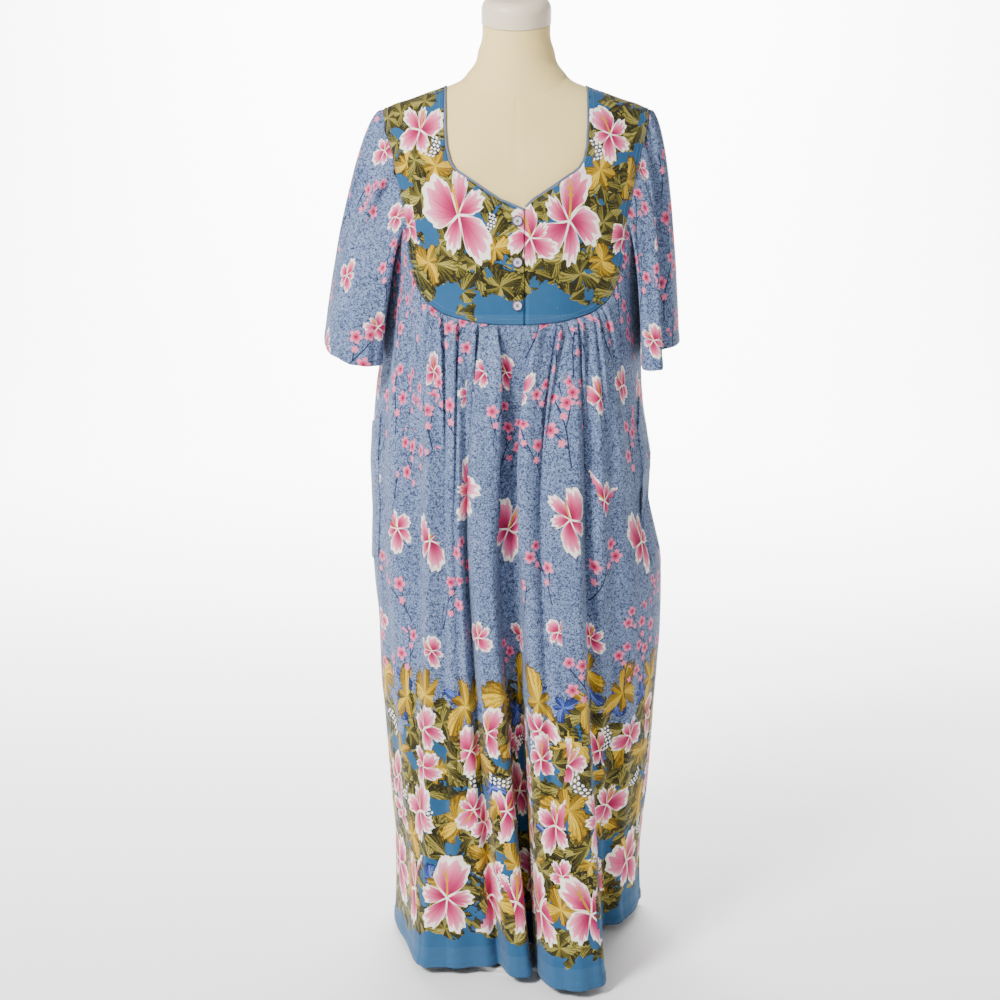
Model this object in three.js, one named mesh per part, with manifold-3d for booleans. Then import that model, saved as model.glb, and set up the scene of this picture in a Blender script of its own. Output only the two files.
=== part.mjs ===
import * as THREE from "three";
import { mergeVertices } from "three/addons/utils/BufferGeometryUtils.js";
import Module from "manifold-3d";

// Muumuu dress on a limbless dress form. Millimetres, +Z up, the front faces -Y, the wearer's right is -X,
// and the origin is the centre of the base plate's underside.

// Cloth
const cloth = 1.2; // wall of one panel
const hemCloth = 2.4; // wall where a hem is turned up
const yokeLift = 0.7; // between the form and the inside of the yokes
const seamGap = 0.3;
const armholeGap = 0.5; // between the sleeve's head and the bodice
const hemHeight = 15; // of the skirt's edge above the floor
const hemTurn = 13; // depth of a turned hem
const midHeight = 700; // level of the middle column of the fold tables
const pleatAtSeam = 0.3; // share of a pleat's lift that is left where the seam presses it flat
const pressed = 0.012; // share of the skirt's fall over which that ends
const sideEase = 0.05; // share of the skirt's fall over which its side takes the outline

// Form and stand
const shoulderSeamY = 5; // the shoulder seam runs a little behind the middle
const castHeight = 1150; // where the rays that find the cloth start
const castRaise = 112; // and how much higher they start at the shoulder's tip
const capTilt = 0.26; // the neck is cut lower in front
const capSeam = 1405; // height of that cut over the middle
const neckDeep = 50; // half the neck's depth there
const capRise = 36;
const poleRadius = 14;
const baseRadius = 96;
const baseThick = 8;
const socketRadius = 23;
const socketTop = 44;

// Fastenings
const openingEdge = 10; // x of the right yoke's front edge
const underlap = 18; // how far the left yoke runs on below it
const buttonRadius = 7.5;
const buttonX = 1;
const buttonHeights = [1136, 1081, 1022.5];
const bindingWide = 3.2;

// Pocket bags in the side seams
const pocketColumns = 5; // columns of the skirt front that a bag lies behind
const pocketLevels = [5, 9]; // and its levels, from just over the mouth down
const pocketClear = 0.8; // behind the skirt front
const pocketThick = 2; // both layers of the bag together

const atShoulder = 9999; // a height that stands for the shoulder seam

// Sections of the form: half width, depth before and behind the middle, and how square the curve is.
const formSections = [
  { z: 640, half: 158, front: 84, back: 96, power: 2.3 },
  { z: 720, half: 164, front: 88, back: 102, power: 2.3 },
  { z: 820, half: 148, front: 86, back: 92, power: 2.3 },
  { z: 920, half: 122, front: 82, back: 76, power: 2.3 },
  { z: 985, half: 132, front: 98, back: 80, power: 2.3 },
  { z: 1055, half: 150, front: 116, back: 92, power: 2.3 },
  { z: 1130, half: 160, front: 102, back: 98, power: 2.3 },
  { z: 1200, half: 174, front: 84, back: 96, power: 2.2 },
  { z: 1240, half: 181, front: 75, back: 90, power: 2 },
  { z: 1265, half: 184, front: 69, back: 84, power: 1.8 },
  { z: 1280, half: 181, front: 66, back: 79, power: 1.65 },
  { z: 1291, half: 172, front: 64, back: 75, power: 1.6 },
  { z: 1300, half: 149, front: 62, back: 71, power: 1.6 },
  { z: 1309, half: 124, front: 60, back: 67, power: 1.7 },
  { z: 1318, half: 99, front: 58, back: 64, power: 1.8 },
  { z: 1334, half: 72, front: 55, back: 59, power: 2 },
  { z: 1367, half: 54, front: 51, back: 55, power: 2 },
  { z: 1399, half: 48, front: 48, back: 52, power: 2 },
  { z: 1425, half: 48, front: 48, back: 52, power: 2 },
];

// How far the bodice hangs outside the form: at the sides, in front and behind.
const bodiceEase = [
  { z: 960, side: 66, front: 32, back: 40 },
  { z: 985, side: 54, front: 24, back: 34 },
  { z: 1055, side: 36, front: 5, back: 20 },
  { z: 1130, side: 24, front: 4, back: 9 },
  { z: 1200, side: 16, front: 3, back: 3 },
  { z: 1240, side: 15, front: 1, back: 1 },
  { z: 1265, side: 14, front: 0, back: 0 },
  { z: 1280, side: 14, front: 0, back: 0 },
  { z: 1291, side: 4, front: 1, back: 0 },
  { z: 1300, side: 0, front: 2, back: 0.5 },
  { z: 1318, side: 1, front: 2.5, back: 1 },
];

// Half of the front yoke from the shoulder to the centre: a point of the neckline and one of the outer edge.
const frontYokeRows = [
  { neckX: 101, neckZ: atShoulder, edgeX: 188, edgeZ: atShoulder },
  { neckX: 101, neckZ: 1284, edgeX: 184, edgeZ: 1262 },
  { neckX: 100, neckZ: 1250, edgeX: 176, edgeZ: 1235 },
  { neckX: 97, neckZ: 1228, edgeX: 170, edgeZ: 1208 },
  { neckX: 91, neckZ: 1212, edgeX: 164, edgeZ: 1180 },
  { neckX: 83, neckZ: 1203, edgeX: 158, edgeZ: 1155 },
  { neckX: 74, neckZ: 1197, edgeX: 154, edgeZ: 1132 },
  { neckX: 66, neckZ: 1191.5, edgeX: 151, edgeZ: 1102 },
  { neckX: 57, neckZ: 1185.5, edgeX: 146, edgeZ: 1071 },
  { neckX: 48, neckZ: 1179.5, edgeX: 136, edgeZ: 1041 },
  { neckX: 38, neckZ: 1173, edgeX: 116, edgeZ: 1018 },
  { neckX: 30, neckZ: 1168, edgeX: 92, edgeZ: 1006 },
  { neckX: 24, neckZ: 1164, edgeX: 60, edgeZ: 999 },
];
const frontCorner = 6; // row where the yoke leaves the armhole
const neckPoint = 1150; // height of the neckline at the opening
const yokeBottom = 995;

// Half of the back yoke, from the shoulder to the centre back.
const backYokeRows = [
  { neckX: 101, neckZ: atShoulder, edgeX: 188, edgeZ: atShoulder },
  { neckX: 98, neckZ: 1303, edgeX: 185, edgeZ: 1264 },
  { neckX: 93, neckZ: 1294, edgeX: 180, edgeZ: 1238 },
  { neckX: 85, neckZ: 1287, edgeX: 175, edgeZ: 1210 },
  { neckX: 75, neckZ: 1281, edgeX: 170, edgeZ: 1180 },
  { neckX: 63, neckZ: 1277, edgeX: 166, edgeZ: 1152 },
  { neckX: 48, neckZ: 1275, edgeX: 132, edgeZ: 1156 },
  { neckX: 32, neckZ: 1274, edgeX: 90, edgeZ: 1158 },
  { neckX: 16, neckZ: 1273, edgeX: 45, edgeZ: 1160 },
  { neckX: 0, neckZ: 1273, edgeX: 0, edgeZ: 1160 },
];
const backCorner = 5;

// The skirt's edge under the arm, from the side seam to the corner of each yoke.
const underarmFront = [
  { x: 178, y: 0, z: 1076 },
  { x: 173, y: -26, z: 1081 },
  { x: 165, y: -46, z: 1096 },
  { x: 158, y: -57, z: 1114 },
];
const underarmBack = [
  { x: 178, y: 0, z: 1076 },
  { x: 175, y: 27, z: 1082 },
  { x: 171, y: 47, z: 1098 },
  { x: 168, y: 59, z: 1124 },
];

// Folds of the skirt front, from the right side seam to the left one. along is the place on the top seam,
// measured from the centre, lift is how far a pleat stands out there, mid is the level of midHeight.
const frontFolds = [
  { along: -335, lift: 0, midX: -208, midY: 22, hemX: -190, hemY: 60 },
  { along: -300, lift: 0, midX: -203, midY: -18, hemX: -181, hemY: 22 },
  { along: -268, lift: 0, midX: -187, midY: -52, hemX: -169, hemY: -14 },
  { along: -238, lift: 2, midX: -169, midY: -88, hemX: -158, hemY: -58 },
  { along: -180, lift: 0, midX: -141, midY: -94, hemX: -150, hemY: -86 },
  { along: -123, lift: 0, midX: -133, midY: -106, hemX: -144, hemY: -95 },
  { along: -117, lift: 5, midX: -124, midY: -125, hemX: -130, hemY: -102 },
  { along: -101, lift: 1, midX: -101, midY: -119, hemX: -105, hemY: -101 },
  { along: -96, lift: 5, midX: -93, midY: -130, hemX: -87, hemY: -105 },
  { along: -80, lift: 1, midX: -88, midY: -127, hemX: -64, hemY: -99 },
  { along: -75, lift: 5, midX: -82, midY: -136, hemX: -44, hemY: -99 },
  { along: -52, lift: 1, midX: -73, midY: -113, hemX: -25, hemY: -88 },
  { along: -47, lift: 5, midX: -61, midY: -137, hemX: -4, hemY: -131 },
  { along: -36, lift: 3, midX: -45, midY: -139, hemX: 12, hemY: -134 },
  { along: -26, lift: 1, midX: -34, midY: -130, hemX: 24, hemY: -119 },
  { along: -21, lift: 5, midX: -28, midY: -109, hemX: 17, hemY: -72 },
  { along: -6, lift: 5, midX: -17, midY: -103, hemX: 14, hemY: -36 },
  { along: 3, lift: 5, midX: -10, midY: -102, hemX: 24, hemY: -20 },
  { along: 13, lift: 5, midX: -2, midY: -103, hemX: 35, hemY: -38 },
  { along: 28, lift: 5, midX: 5, midY: -109, hemX: 31, hemY: -74 },
  { along: 33, lift: 1, midX: 10, midY: -131, hemX: 36, hemY: -114 },
  { along: 42, lift: 3, midX: 18, midY: -139, hemX: 51, hemY: -160 },
  { along: 53, lift: 5, midX: 27, midY: -135, hemX: 63, hemY: -170 },
  { along: 58, lift: 1, midX: 35, midY: -127, hemX: 73, hemY: -172 },
  { along: 68, lift: 3, midX: 50, midY: -140, hemX: 88, hemY: -177 },
  { along: 79, lift: 5, midX: 83, midY: -139, hemX: 116, hemY: -167 },
  { along: 82, lift: 3, midX: 93, midY: -128, hemX: 134, hemY: -138 },
  { along: 86, lift: 1, midX: 99, midY: -106, hemX: 127, hemY: -42 },
  { along: 101, lift: 5, midX: 119, midY: -120, hemX: 136, hemY: 30 },
  { along: 107, lift: 1, midX: 136, midY: -100, hemX: 148, hemY: 44 },
  { along: 117, lift: 5, midX: 154, midY: -91, hemX: 163, hemY: 46 },
  { along: 124, lift: 0, midX: 169, midY: -66, hemX: 174, hemY: 60 },
  { along: 180, lift: 0, midX: 184, midY: -40, hemX: 183, hemY: 74 },
  { along: 238, lift: 2, midX: 194, midY: -14, hemX: 192, hemY: 92 },
  { along: 290, lift: 0, midX: 199, midY: 8, hemX: 199, hemY: 112 },
  { along: 335, lift: 0, midX: 202, midY: 26, hemX: 203, hemY: 130 },
];

// Folds of the skirt back, from the left side seam round to the right one.
const backFolds = [
  { along: -300, lift: 0, midX: 202, midY: 27, hemX: 203, hemY: 131 },
  { along: -262, lift: 0, midX: 203, midY: 60, hemX: 208, hemY: 150 },
  { along: -228, lift: 0, midX: 190, midY: 82, hemX: 193, hemY: 163 },
  { along: -185, lift: 2, midX: 178, midY: 109, hemX: 180, hemY: 184 },
  { along: -150, lift: 0, midX: 158, midY: 106, hemX: 158, hemY: 172 },
  { along: -121, lift: 4, midX: 134, midY: 130, hemX: 139, hemY: 186 },
  { along: -101, lift: 0, midX: 112, midY: 120, hemX: 118, hemY: 181 },
  { along: -96, lift: 4, midX: 99, midY: 133, hemX: 92, hemY: 197 },
  { along: -77, lift: 0, midX: 80, midY: 118, hemX: 72, hemY: 170 },
  { along: -72, lift: 4, midX: 66, midY: 137, hemX: 58, hemY: 192 },
  { along: -53, lift: 0, midX: 50, midY: 124, hemX: 39, hemY: 187 },
  { along: -48, lift: 4, midX: 38, midY: 138, hemX: 20, hemY: 199 },
  { along: -29, lift: 0, midX: 20, midY: 122, hemX: 8, hemY: 174 },
  { along: -23, lift: 4, midX: 9, midY: 133, hemX: -3, hemY: 185 },
  { along: 4, lift: 4, midX: -8, midY: 131, hemX: -17, hemY: 183 },
  { along: 24, lift: 4, midX: -23, midY: 137, hemX: -37, hemY: 195 },
  { along: 30, lift: 0, midX: -36, midY: 123, hemX: -52, hemY: 184 },
  { along: 49, lift: 4, midX: -48, midY: 134, hemX: -63, hemY: 190 },
  { along: 55, lift: 0, midX: -65, midY: 119, hemX: -82, hemY: 163 },
  { along: 73, lift: 4, midX: -80, midY: 134, hemX: -95, hemY: 181 },
  { along: 79, lift: 0, midX: -93, midY: 121, hemX: -109, hemY: 173 },
  { along: 97, lift: 4, midX: -108, midY: 131, hemX: -125, hemY: 179 },
  { along: 103, lift: 0, midX: -126, midY: 111, hemX: -140, hemY: 152 },
  { along: 121, lift: 4, midX: -143, midY: 124, hemX: -156, hemY: 166 },
  { along: 150, lift: 0, midX: -163, midY: 101, hemX: -171, hemY: 144 },
  { along: 185, lift: 2, midX: -182, midY: 100, hemX: -186, hemY: 140 },
  { along: 228, lift: 0, midX: -196, midY: 74, hemX: -187, hemY: 112 },
  { along: 262, lift: 0, midX: -207, midY: 52, hemX: -192, hemY: 88 },
  { along: 300, lift: 0, midX: -208, midY: 23, hemX: -190, hemY: 61 },
];

// Outline of the skirt at its side seams, right and left.
const sideSeams = [
  { z: 1076, right: -178, left: 178 },
  { z: 1000, right: -186, left: 180 },
  { z: 926, right: -198, left: 183 },
  { z: 870, right: -206, left: 187 },
  { z: 820, right: -210, left: 195 },
  { z: 768, right: -213, left: 201 },
  { z: 725, right: -210, left: 197 },
  { z: 667, right: -214, left: 211 },
  { z: 600, right: -212, left: 221 },
  { z: 525, right: -206, left: 222 },
  { z: 457, right: -205, left: 220 },
  { z: 379, right: -200, left: 216 },
  { z: 240, right: -192, left: 210 },
  { z: 161, right: -187, left: 203 },
  { z: 100, right: -187, left: 200 },
  { z: hemHeight, right: -190, left: 203 },
];
const seamReach = 90; // how far from a side seam its outline pulls the cloth

// Sleeves: head is the place round the armhole from the shoulder through the front, hem the lower edge,
// and puff how far the cloth swells out between them.
const rightSleeveRows = [
  { head: 0, puff: 1, hemX: -279, hemY: 4, hemZ: 960 },
  { head: 0.06, puff: 1, hemX: -272, hemY: -38, hemZ: 951 },
  { head: 0.12, puff: 0.9, hemX: -252, hemY: -70, hemZ: 941 },
  { head: 0.2, puff: 1, hemX: -226, hemY: -85, hemZ: 933 },
  { head: 0.3, puff: 0.9, hemX: -204, hemY: -78, hemZ: 931 },
  { head: 0.4, puff: 0.9, hemX: -192, hemY: -52, hemZ: 934 },
  { head: 0.5, puff: 1, hemX: -206, hemY: 2, hemZ: 941 },
  { head: 0.6, puff: 1, hemX: -204, hemY: 50, hemZ: 946 },
  { head: 0.72, puff: 1, hemX: -222, hemY: 84, hemZ: 953 },
  { head: 0.85, puff: 1, hemX: -256, hemY: 78, hemZ: 959 },
  { head: 0.94, puff: 1, hemX: -274, hemY: 45, hemZ: 961 },
];
const leftSleeveRows = [
  { head: 0, puff: 0.8, hemX: 241, hemY: 25, hemZ: 952 },
  { head: 0.04, puff: 0.75, hemX: 229, hemY: -8, hemZ: 949 },
  { head: 0.08, puff: 0.2, hemX: 204, hemY: -28, hemZ: 942 },
  { head: 0.13, puff: 0.7, hemX: 209, hemY: -62, hemZ: 931 },
  { head: 0.2, puff: 0.9, hemX: 200, hemY: -86, hemZ: 926 },
  { head: 0.3, puff: 0.9, hemX: 184, hemY: -78, hemZ: 925 },
  { head: 0.4, puff: 0.9, hemX: 181, hemY: -50, hemZ: 929 },
  { head: 0.5, puff: 1, hemX: 190, hemY: 2, hemZ: 936 },
  { head: 0.6, puff: 1, hemX: 192, hemY: 45, hemZ: 942 },
  { head: 0.72, puff: 1, hemX: 206, hemY: 82, hemZ: 949 },
  { head: 0.85, puff: 1, hemX: 230, hemY: 78, hemZ: 954 },
  { head: 0.94, puff: 0.9, hemX: 241, hemY: 54, hemZ: 954 },
];
const sleeveSwell = 78; // how strongly a sleeve leaves the armhole sideways
const sleeveSwellTop = 62; // more than that at the shoulder and less under the arm
const sleeveRise = 24; // and how strongly it leaves outwards
const sleeveRiseTop = 12;
const sleeveFlare = 10; // and how it arrives at its hem
const sleeveFall = 140;
const sleeveLength = 340; // from the head to the hem
const headPleats = 5; // on each side of the shoulder seam
const headPleatReach = 0.12; // share of the armhole that they take up on each side
const headPleatDeep = 2.2;
const sleeveCoarse = 18; // columns round the rest of a sleeve

const vector = (x, y, z) => new THREE.Vector3(x, y, z);
const mix = (a, b, k) => a + (b - a) * k;
const ramp = (value, from, to) => THREE.MathUtils.clamp((value - from) / (to - from), 0, 1);
const smooth = (k) => k * k * (3 - 2 * k);

// A smooth curve through rows, level at each ridge and valley: it blends the tangent lines of two rows.
function curveThrough(places, values) {
  const order = places.map((_, i) => i).sort((a, b) => places[a] - places[b]);
  const at = order.map((i) => places[i]);
  const to = order.map((i) => values[i]);
  const last = at.length - 1;
  const rise = to.slice(1).map((value, i) => (value - to[i]) / (at[i + 1] - at[i]));
  const slope = to.map((_, i) => {
    if (i === 0) return rise[0];
    if (i === last) return rise[last - 1];
    if (rise[i - 1] * rise[i] <= 0) return 0;
    return (2 * rise[i - 1] * rise[i]) / (rise[i - 1] + rise[i]);
  });
  return (place) => {
    if (place <= at[0]) return to[0];
    if (place >= at[last]) return to[last];
    let i = 0;
    while (at[i + 1] < place) i += 1;
    const wide = at[i + 1] - at[i];
    const k = (place - at[i]) / wide;
    const start = to[i] + k * wide * slope[i];
    const end = to[i + 1] - (1 - k) * wide * slope[i + 1];
    return mix(start, end, smooth(k));
  };
}

// One curve for each named column of a table.
function curvesOf(rows, places) {
  const made = {};
  for (const key of Object.keys(rows[0])) {
    made[key] = curveThrough(places, rows.map((row) => row[key]));
  }
  return (place) => Object.fromEntries(Object.entries(made).map(([key, curve]) => [key, curve(place)]));
}

const formAt = curvesOf(formSections, formSections.map((row) => row.z));
const easeAt = curvesOf(bodiceEase, bodiceEase.map((row) => row.z));
const seamAt = curvesOf(sideSeams, sideSeams.map((row) => row.z));

function bodiceAt(z) {
  const form = formAt(z);
  const ease = easeAt(z);
  return {
    half: form.half + ease.side,
    front: form.front + ease.front,
    back: form.back + ease.back,
    power: form.power,
  };
}

// Below zero inside the bodice, above zero outside it.
function outsideBodice(x, y, z) {
  const section = bodiceAt(z);
  const deep = y < 0 ? section.front : section.back;
  return (Math.abs(x) / section.half) ** section.power + (Math.abs(y) / deep) ** section.power - 1;
}

function bodiceNormal(point) {
  const step = 0.5;
  const { x, y, z } = point;
  return vector(
    outsideBodice(x + step, y, z) - outsideBodice(x - step, y, z),
    outsideBodice(x, y + step, z) - outsideBodice(x, y - step, z),
    outsideBodice(x, y, z + step) - outsideBodice(x, y, z - step),
  ).normalize();
}

// The bodice point at x that a ray meets. The angle is 0 to the front, 90 degrees up and 180 to the back.
const castStart = (x) => castHeight + castRaise * ramp(Math.abs(x), 150, 190);

function bodicePoint(x, angle) {
  const start = castStart(x);
  const stepY = -Math.cos(angle);
  const stepZ = Math.sin(angle);
  let near = 0;
  let far = 3;
  while (far < 400 && outsideBodice(x, far * stepY, start + far * stepZ) < 0) {
    near = far;
    far += 3;
  }
  for (let i = 0; i < 30; i += 1) {
    const middle = (near + far) / 2;
    if (outsideBodice(x, middle * stepY, start + middle * stepZ) < 0) near = middle;
    else far = middle;
  }
  return vector(x, near * stepY, start + near * stepZ);
}

// The ray's angle to a height on the front or the back, no higher than the shoulder seam.
function angleTo(x, z, side) {
  const front = side === "front";
  const seamY = shoulderSeamY + (front ? -seamGap / 2 : seamGap / 2);
  let low = Math.PI / 3;
  let high = (2 * Math.PI) / 3;
  for (let i = 0; i < 40; i += 1) {
    const middle = (low + high) / 2;
    if (bodicePoint(x, middle).y < seamY) low = middle;
    else high = middle;
  }
  const seam = (low + high) / 2;
  if (z >= bodicePoint(x, seam).z) return seam;
  let upper = seam;
  let lower = front ? (-80 * Math.PI) / 180 : (260 * Math.PI) / 180;
  for (let i = 0; i < 40; i += 1) {
    const middle = (upper + lower) / 2;
    if (bodicePoint(x, middle).z > z) upper = middle;
    else lower = middle;
  }
  return (upper + lower) / 2;
}

// Turns a table of neck and edge points into curves through the cast points.
function yokeCurves(rows, side) {
  const cast = rows.map((row) => {
    const neck = bodicePoint(row.neckX, angleTo(row.neckX, row.neckZ, side));
    const edge = bodicePoint(row.edgeX, angleTo(row.edgeX, row.edgeZ, side));
    return { neckX: neck.x, neckY: neck.y, neckZ: neck.z, edgeX: edge.x, edgeY: edge.y, edgeZ: edge.z };
  });
  return curvesOf(cast, cast.map((_, i) => i));
}

// A yoke point: row runs from the shoulder to the centre, across from the neckline to the outer edge.
// It lies where a ray through the straight line between the two meets the bodice.
function yokePoint(curves, row, across) {
  const at = curves(row);
  const x = mix(at.neckX, at.edgeX, across);
  const y = mix(at.neckY, at.edgeY, across);
  const z = mix(at.neckZ, at.edgeZ, across);
  return bodicePoint(x, Math.atan2(z - castStart(x), -y));
}

const share = (steps) => Array.from({ length: steps + 1 }, (_, i) => i / steps);
const mirrored = (rows) => rows.map((row) => ({ ...row, neckX: -row.neckX, edgeX: -row.edgeX }));
const rightEdge = [
  { neckX: -14, neckZ: neckPoint + 10, edgeX: -26, edgeZ: yokeBottom + 0.5 },
  { neckX: -2, neckZ: neckPoint + 5, edgeX: -6, edgeZ: yokeBottom },
  { neckX: openingEdge, neckZ: neckPoint, edgeX: openingEdge, edgeZ: yokeBottom },
];
const leftEdge = [
  { neckX: openingEdge + 9, neckZ: neckPoint + 9.5, edgeX: openingEdge + 14, edgeZ: yokeBottom + 0.5 },
  { neckX: openingEdge + 3, neckZ: neckPoint + 4, edgeX: openingEdge + 3, edgeZ: yokeBottom },
  { neckX: openingEdge - 6, neckZ: neckPoint, edgeX: openingEdge - 6, edgeZ: yokeBottom },
  { neckX: openingEdge - underlap, neckZ: neckPoint - 1, edgeX: openingEdge - underlap, edgeZ: yokeBottom },
];
const rightYokeRows = [...mirrored(frontYokeRows), ...rightEdge];
const leftYokeRows = [...frontYokeRows, ...leftEdge];
const rightYoke = yokeCurves(rightYokeRows, "front");
const leftYoke = yokeCurves(leftYokeRows, "front");
const backYokeRight = yokeCurves(mirrored(backYokeRows), "back");
const backYokeLeft = yokeCurves(backYokeRows, "back");

// A closed wall between two sheets of points, indexed by column and row. A tube's last column joins
// its first.
function wall(outer, inner, tube = false) {
  const columns = outer.length;
  const rows = outer[0].length;
  const points = [];
  for (const sheet of [outer, inner]) {
    for (const column of sheet) {
      for (const point of column) points.push(point.x, point.y, point.z);
    }
  }
  const out = (i, j) => (i % columns) * rows + j;
  const inn = (i, j) => columns * rows + out(i, j);
  const faces = [];
  const quad = (a, b, c, d) => faces.push(a, b, c, a, c, d);
  const spans = tube ? columns : columns - 1;
  for (let i = 0; i < spans; i += 1) {
    for (let j = 0; j < rows - 1; j += 1) {
      quad(out(i, j), out(i, j + 1), out(i + 1, j + 1), out(i + 1, j));
      quad(inn(i, j), inn(i + 1, j), inn(i + 1, j + 1), inn(i, j + 1));
    }
    quad(out(i, 0), out(i + 1, 0), inn(i + 1, 0), inn(i, 0));
    quad(out(i, rows - 1), inn(i, rows - 1), inn(i + 1, rows - 1), out(i + 1, rows - 1));
  }
  if (!tube) {
    const end = columns - 1;
    for (let j = 0; j < rows - 1; j += 1) {
      quad(out(0, j), inn(0, j), inn(0, j + 1), out(0, j + 1));
      quad(out(end, j), out(end, j + 1), inn(end, j + 1), inn(end, j));
    }
  }
  return solidFrom(points, faces);
}

// A geometry whose faces point outwards.
function solidFrom(points, faces) {
  let volume = 0;
  const corner = (i) => vector(points[3 * i], points[3 * i + 1], points[3 * i + 2]);
  for (let i = 0; i < faces.length; i += 3) {
    const [a, b, c] = [corner(faces[i]), corner(faces[i + 1]), corner(faces[i + 2])];
    volume += a.dot(b.cross(c));
  }
  const order = [...faces];
  if (volume < 0) {
    for (let i = 0; i < order.length; i += 3) [order[i + 1], order[i + 2]] = [order[i + 2], order[i + 1]];
  }
  const geometry = new THREE.BufferGeometry();
  geometry.setAttribute("position", new THREE.Float32BufferAttribute(points, 3));
  geometry.setIndex(order);
  return geometry;
}

// The outward normal at each point of a sheet, from its neighbours.
function sheetNormals(sheet, tube, outward) {
  const columns = sheet.length;
  const rows = sheet[0].length;
  return sheet.map((column, i) =>
    column.map((point, j) => {
      const before = tube ? sheet[(i + columns - 1) % columns][j] : sheet[Math.max(i - 1, 0)][j];
      const after = tube ? sheet[(i + 1) % columns][j] : sheet[Math.min(i + 1, columns - 1)][j];
      const above = sheet[i][Math.max(j - 1, 0)];
      const below = sheet[i][Math.min(j + 1, rows - 1)];
      const round = after.clone().sub(before);
      const down = below.clone().sub(above);
      return round.cross(down).normalize().multiplyScalar(outward);
    }),
  );
}

// Rows of a yoke's points: closest where it bends over the shoulder.
const overShoulder = [0, 0.12, 0.25, 0.4, 0.6, 0.8];
const frontPlaces = (last) => [...overShoulder, ...share(2 * (last - 1)).map((k) => mix(1, last, k))];
const backPlaces = [...overShoulder, 1, 2, 3, 4, 4.5, 5, 6, 7, 8, 9];

function yokeWall(curves, rowPlaces, acrossPlaces, sink) {
  const sheet = (offset) =>
    rowPlaces.map((row) =>
      acrossPlaces.map((across) => {
        const point = yokePoint(curves, row, across);
        return point.addScaledVector(bodiceNormal(point), offset - sink(point.x));
      }),
    );
  return wall(sheet(yokeLift + cloth), sheet(yokeLift));
}

// The left yoke sinks below the right one at the opening, and both are raised a little over the chest.
const overlapSink = cloth + 3 * seamGap;
const tucked = (x) => overlapSink * smooth(ramp(x, openingEdge + 7, openingEdge + 2));
const raisedFront = (x) => -overlapSink * smooth(ramp(Math.abs(x), 98, 60));

// Points with the bodice's normal along a polyline, found by distance.
function frames(points) {
  const lengths = [0];
  for (let i = 1; i < points.length; i += 1) {
    lengths.push(lengths[i - 1] + points[i].distanceTo(points[i - 1]));
  }
  const at = ["x", "y", "z"].map((axis) => curveThrough(lengths, points.map((point) => point[axis])));
  const place = (length) => vector(...at.map((curve) => curve(length)));
  return {
    total: lengths[lengths.length - 1],
    lengths,
    frame(length) {
      const point = place(length);
      const along = place(length + 1).sub(place(length - 1)).normalize();
      const normal = bodiceNormal(point);
      return { point, along, normal, out: along.clone().cross(normal).normalize() };
    },
  };
}

const edgeOf = (curves, from, to) => {
  const step = from < to ? 0.5 : -0.5;
  const steps = Math.round(Math.abs(to - from) / 0.5);
  return Array.from({ length: steps + 1 }, (_, i) => yokePoint(curves, from + i * step, 1));
};
const sided = (rows, sign) => rows.map((row) => vector(sign * row.x, row.y, row.z));

// The skirt's top seams: up the armhole, round the yoke and down again.
const lastRight = rightYokeRows.length - 1;
const lastLeft = leftYokeRows.length - 3;
const frontSeam = frames([
  ...sided(underarmFront, -1),
  ...edgeOf(rightYoke, frontCorner, lastRight),
  ...edgeOf(leftYoke, lastLeft, frontCorner).slice(1),
  ...sided(underarmFront, 1).reverse(),
]);
const backCentre = backYokeRows.length - 1;
const backSeam = frames([
  ...sided(underarmBack, 1),
  ...edgeOf(backYokeLeft, backCorner, backCentre),
  ...edgeOf(backYokeRight, backCentre, backCorner).slice(1),
  ...sided(underarmBack, -1).reverse(),
]);

// Columns between the rows of a fold table, none wider than the given step at mid height.
function foldColumns(rows, step) {
  const places = [0];
  for (let i = 1; i < rows.length; i += 1) {
    const wide = Math.hypot(rows[i].midX - rows[i - 1].midX, rows[i].midY - rows[i - 1].midY);
    places.push(places[i - 1] + Math.max(wide, 4));
  }
  const at = curvesOf(rows, places);
  const columns = [];
  for (let i = 1; i < places.length; i += 1) {
    const parts = Math.max(1, Math.round((places[i] - places[i - 1]) / step));
    for (let k = 0; k < parts; k += 1) columns.push(mix(places[i - 1], places[i], k / parts));
  }
  columns.push(places[places.length - 1]);
  return columns.map((place) => at(place));
}

// Shares of the fall from the seam to the hem, and where the turned hems begin.
const skirtHem = 1 - hemTurn / (yokeBottom - hemHeight);
const skirtLevels = [
  0, pressed, sideEase, 0.11, 0.17, 0.225, 0.28, 0.35, 0.42, 0.5, 0.59, 0.69, 0.8, 0.91, skirtHem, 1,
];
const frontStep = 14;
const backStep = 16;

function skirtWall(rows, seam, step, levels) {
  const half = seam.total / 2;
  const stretch = half / Math.abs(rows[0].along);
  const columns = foldColumns(rows, step);
  const topNormals = [];
  const sheet = columns.map((fold, i) => {
    const inset = i === 0 ? seamGap / 2 : i === columns.length - 1 ? -seamGap / 2 : 0;
    const length = THREE.MathUtils.clamp(half + fold.along * stretch + inset, 0, seam.total);
    const { point, normal, out } = seam.frame(length);
    topNormals.push(normal);
    const top = point.clone().addScaledVector(out, seamGap).addScaledVector(normal, yokeLift + cloth);
    return levels.map((level) => skirtPoint(fold, top, normal, level));
  });
  const normals = sheetNormals(sheet, false, 1);
  const inner = sheet.map((column, i) =>
    column.map((point, j) => {
      const thick = levels[j] >= skirtHem ? hemCloth : cloth;
      const inward = j === 0 ? topNormals[i] : normals[i][j];
      return point.clone().addScaledVector(inward, -thick);
    }),
  );
  return wall(sheet, inner);
}

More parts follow.
